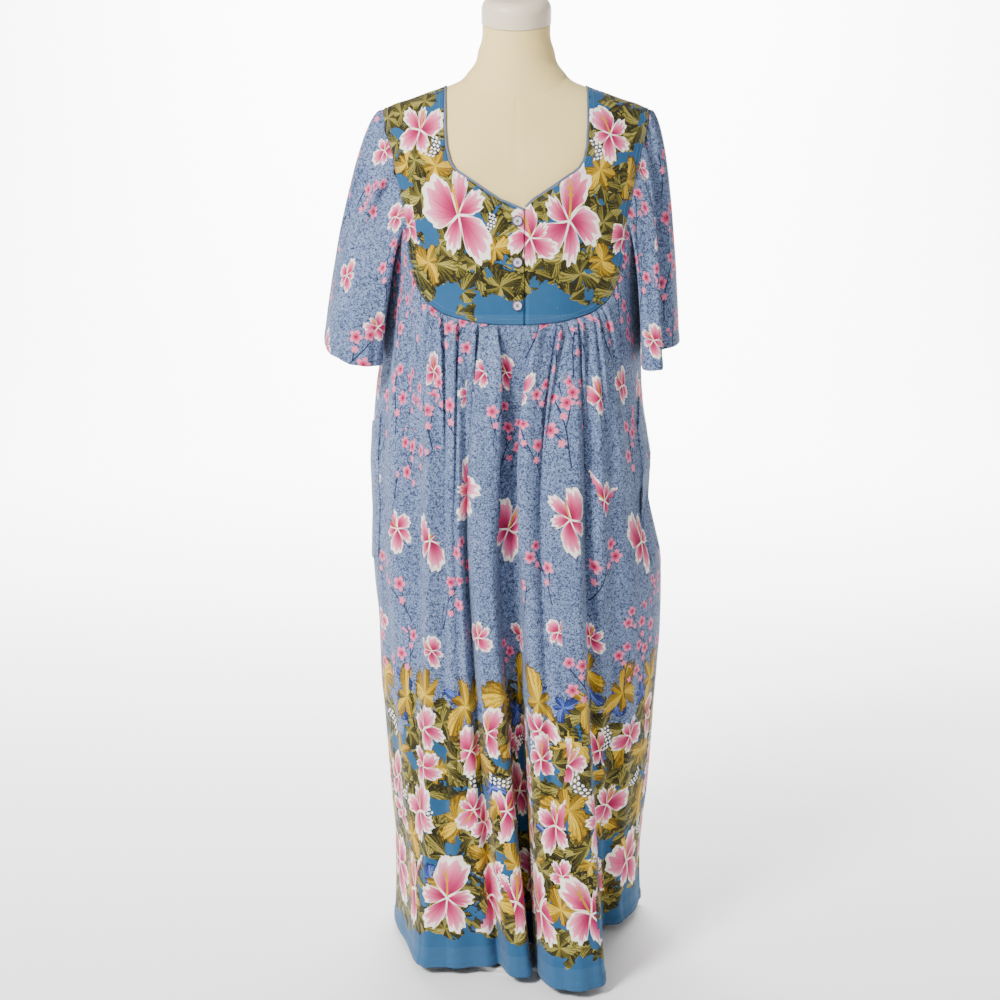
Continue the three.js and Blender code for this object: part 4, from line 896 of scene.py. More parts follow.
# Column, row, length, width, depth and lean of the skirt's soft creases
frontCreases = [
    (0.08, 0.2, 160, 9, 1.6, 14), (0.12, 0.42, 120, 8, 1.4, -8), (0.2, 0.3, 190, 7, 1.3, 4),
    (0.86, 0.22, 150, 9, 1.8, -16), (0.91, 0.36, 130, 8, 1.5, 8), (0.8, 0.5, 160, 9, 1.3, -4),
    (0.3, 0.62, 170, 10, 1.2, 5), (0.44, 0.55, 150, 8, 1.0, -3), (0.66, 0.66, 180, 10, 1.3, 3),
    (0.04, 0.33, 60, 6, 2.2, 60), (0.96, 0.32, 60, 6, 2.2, -60), (0.72, 0.3, 140, 6, 1.0, 2),
]
backCreases = [
    (0.1, 0.3, 170, 9, 1.5, -10), (0.25, 0.5, 190, 9, 1.4, 4), (0.4, 0.3, 150, 7, 1.2, -3),
    (0.55, 0.6, 180, 9, 1.3, 3), (0.7, 0.35, 160, 8, 1.3, 5), (0.88, 0.3, 170, 9, 1.5, 12),
]

gatherHigh, gatherReach = 0.7, 38  # millimetres


# Small gathers that fade below a seam
def gathered(sheet, chart, wide, seed):
    random = np.random.default_rng(seed)
    wave = np.zeros(chart["across"].shape)
    for _ in range(5):
        pitch, start = wide * random.uniform(0.6, 1.7), random.uniform(0, 6.3)
        wave += np.sin(chart["across"] * 2 * math.pi / pitch + start) / 3
    below = chart["up"][:, :1] - chart["up"]
    fade = smooth(ramp(below, 0, 6)) * np.exp(-below / gatherReach)
    return sheet + sheetNormals(sheet) * (wave * fade * gatherHigh)[..., None]


# Pressed pleats below the yoke: place along the seam, side of the fold's edge, length and depth
frontPleats = [
    (-123, 1, 160, 6.5), (-101, 1, 260, 10.4), (-80, 1, 320, 11.1), (-52, 1, 400, 13), (-26, 1, 470, 12.3),
    (33, -1, 480, 13), (58, -1, 330, 11.1), (86, -1, 300, 12.3), (107, -1, 220, 9.8), (124, -1, 140, 6.5),
]
backPleats = [
    (-101, 1, 200, 5), (-77, 1, 260, 6), (-53, 1, 320, 7), (-29, 1, 380, 7),
    (30, -1, 370, 7), (55, -1, 300, 6.5), (79, -1, 240, 6), (103, -1, 190, 5),
]
# A pleat's crisp and soft side in millimetres, its raised share, and how it starts, widens and fades
pleatEdge, pleatSlope, pleatRaise = 1.8, 4.6, 0.22
pleatTop, pleatWiden, pleatFade = 12, 220, 0.75


# A valley with a soft slope on one side and a crisp raised edge on the other, fading downwards
def pleated(sheet, chart, along, rows):
    below = chart["up"][:, :1] - chart["up"]
    widen = 1 + below / pleatWiden
    shift = np.zeros(below.shape)
    for place, side, length, deep in rows:
        aside = (chart["across"] - chart["across"][np.argmin(np.abs(along - place))]) * side
        fade = smooth(ramp(below, 0, pleatTop)) * smooth(ramp(length - below, 0, length * pleatFade))
        valley = np.exp(-(aside / np.where(aside > 0, pleatEdge, pleatSlope * widen)) ** 2)
        edge = np.exp(-((aside - 2.4 * pleatEdge) / pleatEdge) ** 2)
        shift += deep * fade * (pleatRaise * edge - valley)
    return sheet + sheetNormals(sheet) * shift[..., None]


# The scattered motifs: layer, heights above the hem in millimetres, count, radii, turns, room and slimness
whole, upright, leaning, hanging = (0, 6.28), (1.2, 1.95), (0.9, 2.4), (1.0, 2.3)
even, petalSlim, sprigTurn = (1, 1), (0.62, 0.85), (1.1, 2.1)
skirtMotifs = [
    ("gold", 415, 470, 12, (46, 64), upright, 1.1, (0.6, 0.8)),
    ("gold", 90, 390, 44, (36, 54), whole, 1.25, even),
    ("navy", 400, 455, 16, (20, 30), whole, 1.3, even),
    ("navy", 120, 380, 10, (18, 26), whole, 1.3, even),
    ("hibiscusFront", 104, 124, 14, (74, 86), hanging, 0.92, petalSlim),
    ("hibiscusFront", 225, 275, 11, (48, 62), hanging, 1.15, petalSlim),
    ("hibiscusFront", 335, 385, 11, (38, 50), hanging, 1.25, petalSlim),
    ("hibiscusBack", 110, 400, 12, (34, 48), whole, 1.6, (0.65, 0.9)),
    ("hibiscusBack", 870, 915, 9, (30, 40), leaning, 1.9, petalSlim),
    ("hibiscusBack", 655, 745, 13, (46, 62), leaning, 1.75, petalSlim),
    ("hibiscusBack", 500, 545, 6, (26, 34), leaning, 2.6, petalSlim),
    ("berries", 130, 400, 26, (20, 26), whole, 2.6, even),
    ("sprigs", 455, 640, 78, (46, 60), sprigTurn, 0.78, (sprigSlim, sprigSlim)),
    ("sprigs", 640, 880, 50, (46, 60), sprigTurn, 0.78, (sprigSlim, sprigSlim)),
    ("sprigs", 880, 1300, 26, (46, 60), sprigTurn, 0.78, (sprigSlim, sprigSlim)),
]


def skirtBorder(tree, uv, up):
    across = addNode(tree, "ShaderNodeSeparateXYZ", None, {0: uv}).outputs[0]
    wobble = addNode(tree, "ShaderNodeTexNoise", {"noise_dimensions": "2D"}, {
        "Vector": uv, "Scale": 1.6, "Detail": 3.0,
    })
    return worked(tree, {"u": across, "up": up, "n": wobble.outputs[0]}, [
        ("wave1", "MULTIPLY", "u", 2.7), ("wave2", "SINE", "wave1"),
        ("wave3", "MULTIPLY_ADD", "wave2", 0.2, "up"),
        ("edge", "MULTIPLY_ADD", "n", 1.0, "wave3"), ("inside", "LESS_THAN", "edge", 4.35),
        ("inLeaf", "LESS_THAN", "edge", 4.7), ("lowEdge", "MULTIPLY_ADD", "n", -1.2, "up"),
        ("band", "LESS_THAN", "up", 0.34), ("above", "GREATER_THAN", "lowEdge", -0.12),
        ("closed", "LESS_THAN", "n", 0.59), ("zone", "MULTIPLY", "above", "inLeaf"),
        ("leafy", "MULTIPLY", "zone", "closed"),
    ])


skirtKeys = ["navy", "gold", "hibiscusBack", "sprigs", "berries", "hibiscusFront"]
skirtCotton = printedCotton("printedCottonSkirt", skirtBorder, skirtKeys)
skirts, skirtSheets = {}, []
for name, node, folds, seam, pleats, creases, settings in (
    ("skirtFront", "skirt_front", frontFolds, frontSeam, frontPleats, frontCreases, skirtFrontSettings),
    ("skirtBack", "skirt_back", backFolds, backSeam, backPleats, backCreases, skirtBackSettings),
):
    sheet, topNormal, along = skirtSheet(folds, seam, settings)
    sheet = pleated(sheet, chartOf(sheet), along, pleats)
    sheet = creased(sheet, chartOf(sheet), creases)
    chart = chartOf(sheet)
    sheet = gathered(sheet, chart, settings["gatherWide"], settings["gatherSeed"])
    layers = scattered(chart, settings["seed"], skirtMotifs)
    piece = skirtShell(name, sheet, topNormal, chart, layers)
    skirts[name] = finishPiece(piece, skirtCotton, "skirt_print", node)
    skirtSheets.append(sheet)
print("skirt hung and printed")

sleeveSettings = {
    "around": 190, "rows": 64, "swell": 78, "swellTop": 62, "rise": 24, "riseTop": 12,
    "flare": 10, "fall": 140,
}
headPleats, headPleatReach, headPleatDeep = 5, 0.12, 2.2


def sleeveSheet(rows, sign, settings):
    total, at = armhole(sign)
    last, first, second = ({key: column[k:k + 1] for key, column in rows.items()} for k in (-1, 0, 1))
    closed = joined(
        {**last, "head": last["head"] - 1}, rows, {**first, "head": first["head"] + 1},
        {**second, "head": second["head"] + 1},
    )
    head = np.arange(settings["around"]) / settings["around"]
    row = curvesOf(closed, closed["head"])(head)
    point, normal, out = at(np.clip(head * total, 0.2, total - 0.2))
    out = out * -sign
    start = point + out * armholeGap + normal * (yokeLift + cloth / 2)
    turn = np.cos(2 * math.pi * head)
    leave = out * ((settings["swell"] + settings["swellTop"] * turn) * row["puff"])[:, None]
    rise = settings["rise"] - settings["riseTop"] * turn
    leave = leave + normal * (rise * mix(1, row["puff"], 0.5))[:, None]
    end = np.stack([row["hemX"], row["hemY"], row["hemZ"]], axis=-1)
    arrive = np.array([sign * settings["flare"], 0, -settings["fall"]])
    level = np.concatenate([
        np.linspace(0, 0.1, 9)[:-1], np.linspace(0.1, 0.94, settings["rows"])[:-1], np.linspace(0.94, 1, 9),
    ])
    t = level[None, :, None]
    sheet = start[:, None] * (2 * t ** 3 - 3 * t ** 2 + 1) + leave[:, None] * (t ** 3 - 2 * t ** 2 + t)
    sheet = sheet + end[:, None] * (3 * t ** 2 - 2 * t ** 3) + arrive * (t ** 3 - t ** 2)
    place = np.minimum(head, 1 - head) / headPleatReach
    pleat = headPleatDeep * np.cos(math.pi * headPleats * place) * (1 - np.minimum(place, 1) ** 2)
    pleat = np.where(place < 1, pleat, 0)
    fade = ramp(level, 0, 0.05) * (1 - ramp(level, 0.1, 0.4))
    return sheet + normal[:, None] * (pleat[:, None] * fade)[..., None], normal


# Column round the sleeve from the shoulder through the front, then as for the skirt
rightSleeveCreases = [
    (0.16, 0.3, 95, 7, 8.5, -24), (0.11, 0.28, 100, 7, -2.5, -22), (0.06, 0.3, 120, 8, 4.5, -14),
    (0.16, 0.2, 60, 7, 2.0, 20), (0.22, 0.55, 110, 10, 1.6, -14), (0.3, 0.35, 90, 8, 2.0, 8),
    (0.97, 0.3, 90, 8, 2.4, -10), (0.9, 0.5, 100, 9, 1.6, 4), (0.12, 0.75, 90, 9, 1.5, 6),
]
leftSleeveCreases = [
    (0.09, 0.4, 190, 7, 9.0, -4), (0.05, 0.35, 160, 7, -2.5, -4), (0.16, 0.3, 110, 7, 4.0, -14),
    (0.24, 0.5, 100, 9, 2.0, -6), (0.3, 0.3, 80, 8, 1.8, 6), (0.96, 0.35, 90, 8, 2.2, 8),
    (0.88, 0.5, 100, 9, 1.6, -4), (0.13, 0.72, 90, 9, 1.4, 4),
]
sleeveMotifs = [
    ("hibiscusBack", -1, 999, 9, (28, 36), leaning, 2.2, petalSlim),
    ("sprigs", -1, 999, 60, (44, 58), (1.0, 2.2), 0.85, (sprigSlim, sprigSlim)),
]

sleeveCotton = printedCotton("printedCottonSleeve", None, ["hibiscusBack", "sprigs"])
sleeves, sleeveHems = {}, []
for name, rows, sign, creases, node in (
    ("sleeveRight", rightSleeveRows, -1, rightSleeveCreases, "sleeve_right"),
    ("sleeveLeft", leftSleeveRows, 1, leftSleeveCreases, "sleeve_left"),
):
    sheet, topNormal = sleeveSheet(rows, sign, sleeveSettings)
    sheet = creased(sheet, chartOf(sheet, True), creases)
    chart = chartOf(sheet, True)
    normals = sheetNormals(sheet, True) * -sign
    normals[:, 0] = topNormal
    half = thickness(chart["up"][:-1]) / 2
    layers = scattered(chart, 21 + sign, sleeveMotifs)
    piece = shellMesh(name, sheet + normals * half, sheet - normals * half, chart, layers)
    sleeves[name] = finishPiece(piece, sleeveCotton, "sleeve_print", node)
    sleeveHems.append(sheet + normals * half)
print("sleeves set in")

# How far up the bodice's surface a point lies, found from a net of rays
netX, netAngle = np.linspace(-195, 195, 66), np.radians(np.linspace(-75, 255, 200))
net = bodicePoint(netX[:, None], netAngle[None, :])
netUp = runAlong(net, 1)
netUp -= np.array([np.interp(0, netAngle, row) for row in netUp])[:, None]
backLevel = np.array([np.interp(math.pi, netAngle, row) for row in netUp])
backPrint = 250


def upBodice(p, back):
    x = p[..., 0]
    angle = np.arctan2(p[..., 2] - castStart(x), -p[..., 1])
    angle = np.where(angle < math.radians(-90), angle + 2 * math.pi, angle)
    i = np.clip(np.searchsorted(netX, x) - 1, 0, 64)
    k = np.clip((x - netX[i]) / (netX[i + 1] - netX[i]), 0, 1)
    j = np.clip(np.searchsorted(netAngle, angle) - 1, 0, 198)
    m = np.clip((angle - netAngle[j]) / (netAngle[j + 1] - netAngle[j]), 0, 1)
    up = mix(mix(netUp[i, j], netUp[i, j + 1], m), mix(netUp[i + 1, j], netUp[i + 1, j + 1], m), k)
    if back:
        up = backPrint + mix(backLevel[i], backLevel[i + 1], k) - up
    return up + castStart(x) - castHeight


def finer(places, parts):
    spans = [np.linspace(a, b, parts, endpoint=False) for a, b in zip(places[:-1], places[1:])]
    return np.concatenate(spans + [places[-1:]])


overShoulder = [0, 0.12, 0.25, 0.4, 0.6, 0.8]
frontPlaces = {
    last: finer(np.array(overShoulder + list(np.linspace(1, last, 2 * last - 1))), 4)
    for last in (lastRight, lastLeft + 2)
}
backPlaces = finer(np.array(overShoulder + [1, 2, 3, 4, 4.5, 5, 6, 7, 8, 9], float), 4)

# Flowers of the yoke: x, height along the cloth from the level of the armpit, radius, turn, kind, slimness
yokeFlowers = [
    (-80, -6, 88, 1.72, 1.3, 0.62), (72, -14, 92, 1.44, 4.1, 0.6),
    (-134, 112, 50, 1.3, 5.7, 0.7), (130, 106, 50, 1.85, 3.3, 0.7), (-150, -22, 34, 1.9, 2.8, 0.7),
    (148, -40, 36, 1.2, 0.9, 0.7), (-118, 306, 52, 1.7, 4.9, 0.66), (-34, 300, 46, 1.4, 6.1, 0.7),
    (50, 306, 54, 1.8, 1.7, 0.66), (130, 300, 46, 1.3, 3.9, 0.7), (-160, 384, 38, 1.9, 2.5, 0.7),
    (-78, 382, 42, 1.2, 5.2, 0.7), (6, 372, 40, 1.6, 0.4, 0.7), (94, 386, 44, 1.9, 2.9, 0.7),
    (164, 372, 36, 1.4, 5.5, 0.7),
]
middleFlower = [(19, -38, 56, 1.75, 2.2, 0.74)]
yokeGold = [
    (-112, 62, 42, 4.6, 2, 0.8), (116, 56, 42, 4.8, 5, 0.8), (-30, -52, 34, 5.4, 7, 0.8),
    (118, -70, 32, 3.8, 1, 0.8), (-152, 64, 36, 1.2, 4, 0.8), (152, 40, 36, 1.8, 6, 0.8),
    (-122, -72, 34, 1.6, 8, 0.7), (-76, 330, 36, 1.2, 3, 0.8), (8, 326, 34, 1.9, 8, 0.8),
    (92, 338, 36, 1.5, 5, 0.8), (-150, 340, 34, 1.3, 2, 0.8), (152, 332, 34, 1.7, 7, 0.8),
]
yokeBerries = [
    (-112, 88, 18, 1.3, 1, 1), (114, 86, 18, 1.8, 2, 1), (-34, -18, 16, 1.2, 6, 1),
    (-76, 296, 18, 0.5, 3, 1),
    (90, 292, 18, 1.2, 4, 1), (-36, 356, 16, 1.6, 5, 1),
]
yokePrints = {
    "gold": yokeGold, "berries": yokeBerries, "hibiscusBack": yokeFlowers, "hibiscusFront": middleFlower,
}


def yokePiece(name, grid, sink, slotNode):
    normal = bodiceNormal(grid)
    offset = (-sink(grid[..., 0]))[..., None]
    sheet = grid + normal * (offset + yokeLift + cloth)
    across, up = grid[..., 0], upBodice(grid, slotNode == "back_yoke")
    chart = {"across": across, "up": up, "middle": 0, "tube": False}
    layers = {key: Layer(chart) for key in yokePrints}
    for key, rows in yokePrints.items():
        for x, high, size, turn, kind, slim in rows:
            layers[key].put(across - x, up - high, size, turn, kind, 1, 1.0, slim)
    piece = shellMesh(name, sheet, grid + normal * (offset + yokeLift), chart, layers)
    return finishPiece(piece, yokeCotton, "border_print", slotNode), sheet


def yokeBorder(tree, uv, up):
    wobble = addNode(tree, "ShaderNodeTexNoise", {"noise_dimensions": "2D"}, {
        "Vector": uv, "Scale": 2.2, "Detail": 3.0,
    })
    return worked(tree, {"up": up, "n": wobble.outputs[0]}, [
        ("edge", "MULTIPLY_ADD", "n", -1.6, "up"), ("zone", "GREATER_THAN", "edge", -1.94),
        ("closed", "LESS_THAN", "n", 0.59), ("leafy", "MULTIPLY", "zone", "closed"),
        ("inside", "GREATER_THAN", "up", -90), ("band", "LESS_THAN", "up", -1.43),
    ])


yokeCotton = printedCotton("printedCottonYoke", yokeBorder, list(yokePrints))
across = np.linspace(0, 1, 34)
rightGrid = yokePoint(rightYoke, frontPlaces[lastRight][:, None], across[None, :])
leftGrid = yokePoint(leftYoke, frontPlaces[lastLeft + 2][:, None], across[None, :])
backGrid = np.concatenate([
    yokePoint(backYokeLeft, backPlaces[:, None], across[None, :]),
    yokePoint(backYokeRight, backPlaces[::-1][1:, None], across[None, :]),
])
yokeRight, rightSheet = yokePiece("yokeRight", rightGrid, raisedFront, "front_yoke_right")
yokeLeft, leftSheet = yokePiece("yokeLeft", leftGrid, lambda x: raisedFront(x) + tucked(x), "front_yoke_left")
yokeBack, backSheet = yokePiece("yokeBack", backGrid, lambda x: x * 0, "back_yoke")
print("yokes laid over the form")

# The neck binding: a narrow rounded fold along the neckline
bindingSettings = {"wide": 3.2, "thick": 1.6, "inset": 0.3}
leftPlaces = frontPlaces[lastLeft + 2]
neckRows = [
    (rightYoke, frontPlaces[lastRight][::-1]), (backYokeRight, backPlaces[1:]),
    (backYokeLeft, backPlaces[::-1][1:-1]), (leftYoke, leftPlaces[leftPlaces <= lastLeft]),
]
neckPath = np.concatenate([yokePoint(curves, rows, np.zeros(len(rows))) for curves, rows in neckRows])
keep = np.concatenate([[True], np.linalg.norm(np.diff(neckPath, axis=0), axis=1) > 0.2])
neckPath = neckPath[keep]
after, before = np.concatenate([neckPath[1:], neckPath[-1:]]), np.concatenate([neckPath[:1], neckPath[:-1]])
neckAlong = unit(after - before)
neckNormal = bodiceNormal(neckPath)
neckOut = unit(np.cross(neckAlong, neckNormal))
neckLift = yokeLift + cloth / 2 - raisedFront(neckPath[:, 0])
section = np.linspace(0, 2 * math.pi, 12, endpoint=False)
aside = bindingSettings["inset"] + bindingSettings["wide"] / 2 * (1 + np.cos(section))
lift = bindingSettings["thick"] / 2 * np.sin(section) + neckLift[:, None]
band = neckPath[:, None] + neckOut[:, None] * aside[None, :, None] + neckNormal[:, None] * lift[..., None]


def tubeMesh(name, rings):
    count, sides = rings.shape[:2]
    faces = []
    for i in range(count - 1):
        for k in range(sides):
            a, b = i * sides + k, i * sides + (k + 1) % sides
            faces.append((a, b, b + sides, a + sides))
    faces += [tuple(range(sides))[::-1], tuple((count - 1) * sides + k for k in range(sides))]
    points = rings.reshape(-1, 3)
    piece = pieceFrom(name, points, faces)
    volume = sum(np.dot(points[f[0]], np.cross(points[f[1]], points[f[2]])) for f in faces[:-2])
    if volume < 0:
        piece.data.flip_normals()
    return piece


# A plain finish: two close colours in soft clouds over a fine grain
def plainMaterial(name, dark, light, cloud, grain, bump, rough, coat=0.0, sheen=0.0):
    material, tree = emptyMaterial(name)
    place = addNode(tree, "ShaderNodeTexCoord").outputs["Object"]
    clouds = addNode(tree, "ShaderNodeTexNoise", None, {"Vector": place, "Scale": cloud, "Detail": 4.0})
    fine = addNode(tree, "ShaderNodeTexNoise", None, {"Vector": place, "Scale": grain, "Detail": 3.0})
    relief = addNode(tree, "ShaderNodeBump", None, {
        "Strength": bump, "Distance": 0.0006, "Height": fine.outputs[0],
    })
    known = worked(tree, {"n": fine.outputs[0]}, [("rough", "MULTIPLY_ADD", "n", 0.15, rough)])
    shader = addNode(tree, "ShaderNodeBsdfPrincipled", None, {
        "Base Color": inked(tree, dark, clouds.outputs[0], light), "Roughness": known["rough"],
        "Normal": relief.outputs[0], "Coat Weight": coat, "Coat Roughness": 0.2, "Sheen Weight": sheen,
    })
    addNode(tree, "ShaderNodeOutputMaterial", None, {"Surface": shader.outputs[0]})
    return material


# Plain cotton, folded and pressed: matt, grey blue, with a faint grain
foldedCotton = plainMaterial(
    "foldedCottonEdge", "#4A556B", "#69778F", cloud=40, grain=900, bump=0.5, rough=0.75, sheen=0.1)
finishPiece(tubeMesh("neckBinding", band), foldedCotton, "binding", "neck_binding")

# Rows of short stitches along a line, each a small bent bar on the cloth
stitchSettings = {"long": 2.3, "gap": 1.0, "thick": 0.5}
stitchPoints, stitchFaces = [], []


def stitchLine(line, normals):
    lengths = runAlong(line)
    pitch = stitchSettings["long"] + stitchSettings["gap"]
    for start in np.arange(1, lengths[-1] - pitch, pitch):
        places = start + stitchSettings["long"] * np.array([0, 0.25, 0.75, 1])
        at = np.stack([np.interp(places, lengths, line[:, axis]) for axis in range(3)], axis=-1)
        normal = unit(np.stack([np.interp(places, lengths, normals[:, axis]) for axis in range(3)], axis=-1))
        side = unit(np.cross(unit(at[-1] - at[0])[None, :], normal))
        lift = np.array([-0.1, 0.3, 0.3, -0.1])[:, None]
        half = stitchSettings["thick"] / 2
        base = len(stitchPoints)
        for k in range(4):
            for a, b in ((-1, 0), (0, 1), (1, 0)):
                stitchPoints.append(at[k] + side[k] * a * half + normal[k] * (lift[k] + b * half))
        for k in range(3):
            for m in range(3):
                n = (m + 1) % 3
                a, b = base + 3 * k + m, base + 3 * k + n
                stitchFaces.append((a, a + 3, b + 3, b))
        stitchFaces.append((base, base + 1, base + 2))
        stitchFaces.append((base + 11, base + 10, base + 9))


# The line on a sheet at a distance from the edge where its columns start
def lineAt(sheet, run, away):
    columns = range(len(sheet))
    return np.stack([[np.interp(away, run[i], sheet[i, :, axis]) for axis in range(3)] for i in columns])


hemLine, seamLines, neckLine = 12.5, (2.2, 8.0), 6.0  # distances of the stitches from an edge
for sheet, side, tube in ((skirtSheets[0], 1, False), (skirtSheets[1], 1, False),
                          (sleeveHems[0], 1, True), (sleeveHems[1], -1, True)):
    up = runAlong(sheet[:, ::-1], 1)
    row = -1 - int(np.argmin(np.abs(up[0] - hemLine)))
    stitchLine(lineAt(sheet[:, ::-1], up, hemLine), sheetNormals(sheet, tube)[:, row] * side)
for sheet in (rightSheet, leftSheet, backSheet):
    normal = bodiceNormal(sheet)
    for away in seamLines:
        stitchLine(lineAt(sheet[:, ::-1], runAlong(sheet[:, ::-1], 1), away), normal[:, -1])
    stitchLine(lineAt(sheet, runAlong(sheet, 1), neckLine), normal[:, 0])
topstitching = pieceFrom("topstitching", np.array(stitchPoints), stitchFaces, False)
# Spun cotton thread: matt, a little lighter than the cloth that it lies on
thread = plainMaterial(
    "cottonThread", "#3C5F86", "#5F82A8", cloud=60, grain=2000, bump=0.3, rough=0.6, sheen=0.1)
finishPiece(topstitching, thread, "binding")
print("stitched")


# From here on, hard pieces are shaped from primitives
def begin(name):
    piece = bpy.context.active_object
    piece.name = name
    piece.data.name = name
    bpy.ops.object.mode_set(mode="EDIT")
    bpy.ops.mesh.select_all(action="DESELECT")
    bpy.ops.object.mode_set(mode="OBJECT")
    return piece


def placeApplied():
    bpy.ops.object.transform_apply(location=True, rotation=True, scale=True)


# A standing cylinder between two heights, ready to be shaped
def cylinder(name, sides, radius, low, high):
    bpy.ops.object.select_all(action="DESELECT")
    bpy.ops.mesh.primitive_cylinder_add(
        vertices=sides, radius=radius, depth=high - low, location=(0, 0, (low + high) / 2), calc_uvs=False)
    made = begin(name)
    placeApplied()
    return made


# Selects the faces or edges that are wanted, in edit mode
def pick(piece, kind, wanted):
    bpy.ops.object.mode_set(mode="OBJECT")
    mesh = piece.data
    for part in (*mesh.vertices, *mesh.edges, *mesh.polygons):
        part.select = False
    if kind == "FACE":
        for face in mesh.polygons:
            face.select = bool(wanted(face))
    else:
        for edge in mesh.edges:
            edge.select = bool(wanted(*(mesh.vertices[end].co for end in edge.vertices)))
    bpy.ops.object.mode_set(mode="EDIT")
    bpy.ops.mesh.select_mode(type=kind)


def sameHeight(a, b):
    return abs(a.z - b.z) < 1e-6


def settled(piece):
    bpy.ops.object.mode_set(mode="OBJECT")
    placeApplied()
    bpy.ops.object.shade_smooth_by_angle(angle=math.radians(35))
    return piece


# A round plate with a socket for the pole
base = {"radius": 0.096, "thick": 0.008, "socket": 0.023, "step": 0.004, "top": 0.044, "bevel": 0.0025}
standBase = cylinder("standBase", 128, base["radius"], 0, base["thick"])
pick(standBase, "FACE", lambda face: face.normal.z > 0.9)
bpy.ops.mesh.inset(thickness=base["radius"] - base["socket"] - base["step"])
bpy.ops.mesh.inset(thickness=base["step"])
bpy.ops.mesh.extrude_region_move(TRANSFORM_OT_translate={"value": (0, 0, base["top"] - base["thick"])})


def roundedEdge(a, b):
    outer = a.z > base["thick"] - 0.001 and a.xy.length > base["radius"] - 0.006
    return sameHeight(a, b) and (outer or a.z > base["top"] - 1e-4) and abs(a.xy.length - b.xy.length) < 1e-5


pick(standBase, "EDGE", roundedEdge)
bpy.ops.mesh.bevel(offset=base["bevel"], segments=4, affect="EDGES")
settled(standBase)
pole = {"radius": 0.014, "foot": 0.0443, "top": 0.6397, "bevel": 0.001}
standPole = cylinder("standPole", 64, pole["radius"], pole["foot"], pole["top"])
pick(standPole, "EDGE", sameHeight)
bpy.ops.mesh.bevel(offset=pole["bevel"], segments=2, affect="EDGES")
settled(standPole)
# Sheet steel with satin enamel: a soft even gloss over a faint orange peel
enamel = plainMaterial(
    "satinEnamelSteel", "#BDBBB6", "#D2D0CB", cloud=8, grain=350, bump=0.08, rough=0.3, coat=0.3)
finishPiece(standBase, enamel, "stand_steel", "stand_base")
finishPiece(standPole, enamel, "stand_steel", "stand_pole")

# The neck's cap: a low lid with a wide round rim, on a cut that falls to the front
cap = {"half": (0.0492, 0.0512), "rise": 0.035, "round": 0.016, "middle": (0, 0.002, 1.4061)}
neckCap = cylinder("neckCap", 128, 1, 0, cap["rise"])
neckCap.scale = (*cap["half"], 1)
placeApplied()
pick(neckCap, "EDGE", lambda a, b: min(a.z, b.z) > cap["rise"] - 1e-5)
bpy.ops.mesh.bevel(offset=cap["round"], segments=10, affect="EDGES")
bpy.ops.object.mode_set(mode="OBJECT")
neckCap.rotation_euler = (math.atan(capTilt), 0, 0)
neckCap.location = cap["middle"]
settled(neckCap)
# Turned wood under satin lacquer: cream, nearly plain, with a soft gloss
lacquer = plainMaterial(
    "satinLacquerWood", "#DECBAE", "#EBDCC4", cloud=12, grain=180, bump=0.06, rough=0.42, coat=0.15)
finishPiece(neckCap, lacquer, "form_cap", "form_cap")

# The form under its linen cover, with a seam down the front and one round the foot of the neck
coverSettings = {
    "around": 200, "groove": 0.7, "seamWide": 1.6, "seamHigh": 1334, "fallFront": 29, "fallBack": 12,
}
angle = np.linspace(0, 2 * math.pi, coverSettings["around"], endpoint=False)
heights = np.concatenate([np.linspace(640, 1180, 70)[:-1], np.linspace(1180, capSeam, 150)])
cosine, sine = np.cos(angle)[:, None], np.sin(angle)[:, None]
z = heights[None, :] + capTilt * neckDeep * sine * smooth(ramp(heights, 1372, capSeam))[None, :]
at = formAt(z)
deep = np.where(sine < 0, at["front"], at["back"])
power = 2 / at["power"]
formX = at["half"] * np.sign(cosine) * np.abs(cosine) ** power
formY = deep * np.sign(sine) * np.abs(sine) ** power
body = np.stack([formX, formY, z], axis=-1)
inward = sheetNormals(body, True)
fall = np.where(formY < 0, coverSettings["fallFront"], coverSettings["fallBack"])
toSeam = z - (coverSettings["seamHigh"] - fall * (formY / 60) ** 2)
toMiddle = np.where((sine < 0) & (toSeam < 0), formX, 99)
dip = sum(np.exp(-(away / coverSettings["seamWide"]) ** 2) for away in (toSeam, toMiddle))
deep = coverSettings["groove"] * np.minimum(dip, 1) * np.sign((inward * body).sum(axis=-1))
body = body - inward * deep[..., None]
formCover = tubeMesh("formCover", np.transpose(body, (1, 0, 2)))
# Plain linen, stretched smooth: matt, with uneven threads about 0.5 mm apart, drawn at 1 mm
linenSettings = {"light": "#F8DD9A", "dark": "#E6CA7E", "cloud": 14.0, "thread": 160.0}
linen, tree = emptyMaterial("plainLinenCover")
place = addNode(tree, "ShaderNodeTexCoord").outputs["Object"]
cloud = addNode(tree, "ShaderNodeTexNoise", None, {
    "Vector": place, "Scale": linenSettings["cloud"], "Detail": 4.0,
})
threads = {
    "Vector": place, "Scale": linenSettings["thread"], "Distortion": 2.5, "Detail": 2.0, "Detail Scale": 2.0,
}
warp = addNode(tree, "ShaderNodeTexWave", {"bands_direction": "X"}, threads)
weft = addNode(tree, "ShaderNodeTexWave", {"bands_direction": "Z"}, threads)
known = worked(tree, {"a": warp.outputs[1], "b": weft.outputs[1], "n": cloud.outputs[0]}, [
    ("weave", "MULTIPLY", "a", "b"), ("tone", "MULTIPLY_ADD", "weave", 0.25, "n"),
    ("shade", "SUBTRACT", "tone", 0.1),
])
colour = inked(tree, linenSettings["dark"], known["shade"], linenSettings["light"])
bump = addNode(tree, "ShaderNodeBump", None, {
    "Strength": 0.25, "Distance": 0.0004, "Height": known["weave"],
})
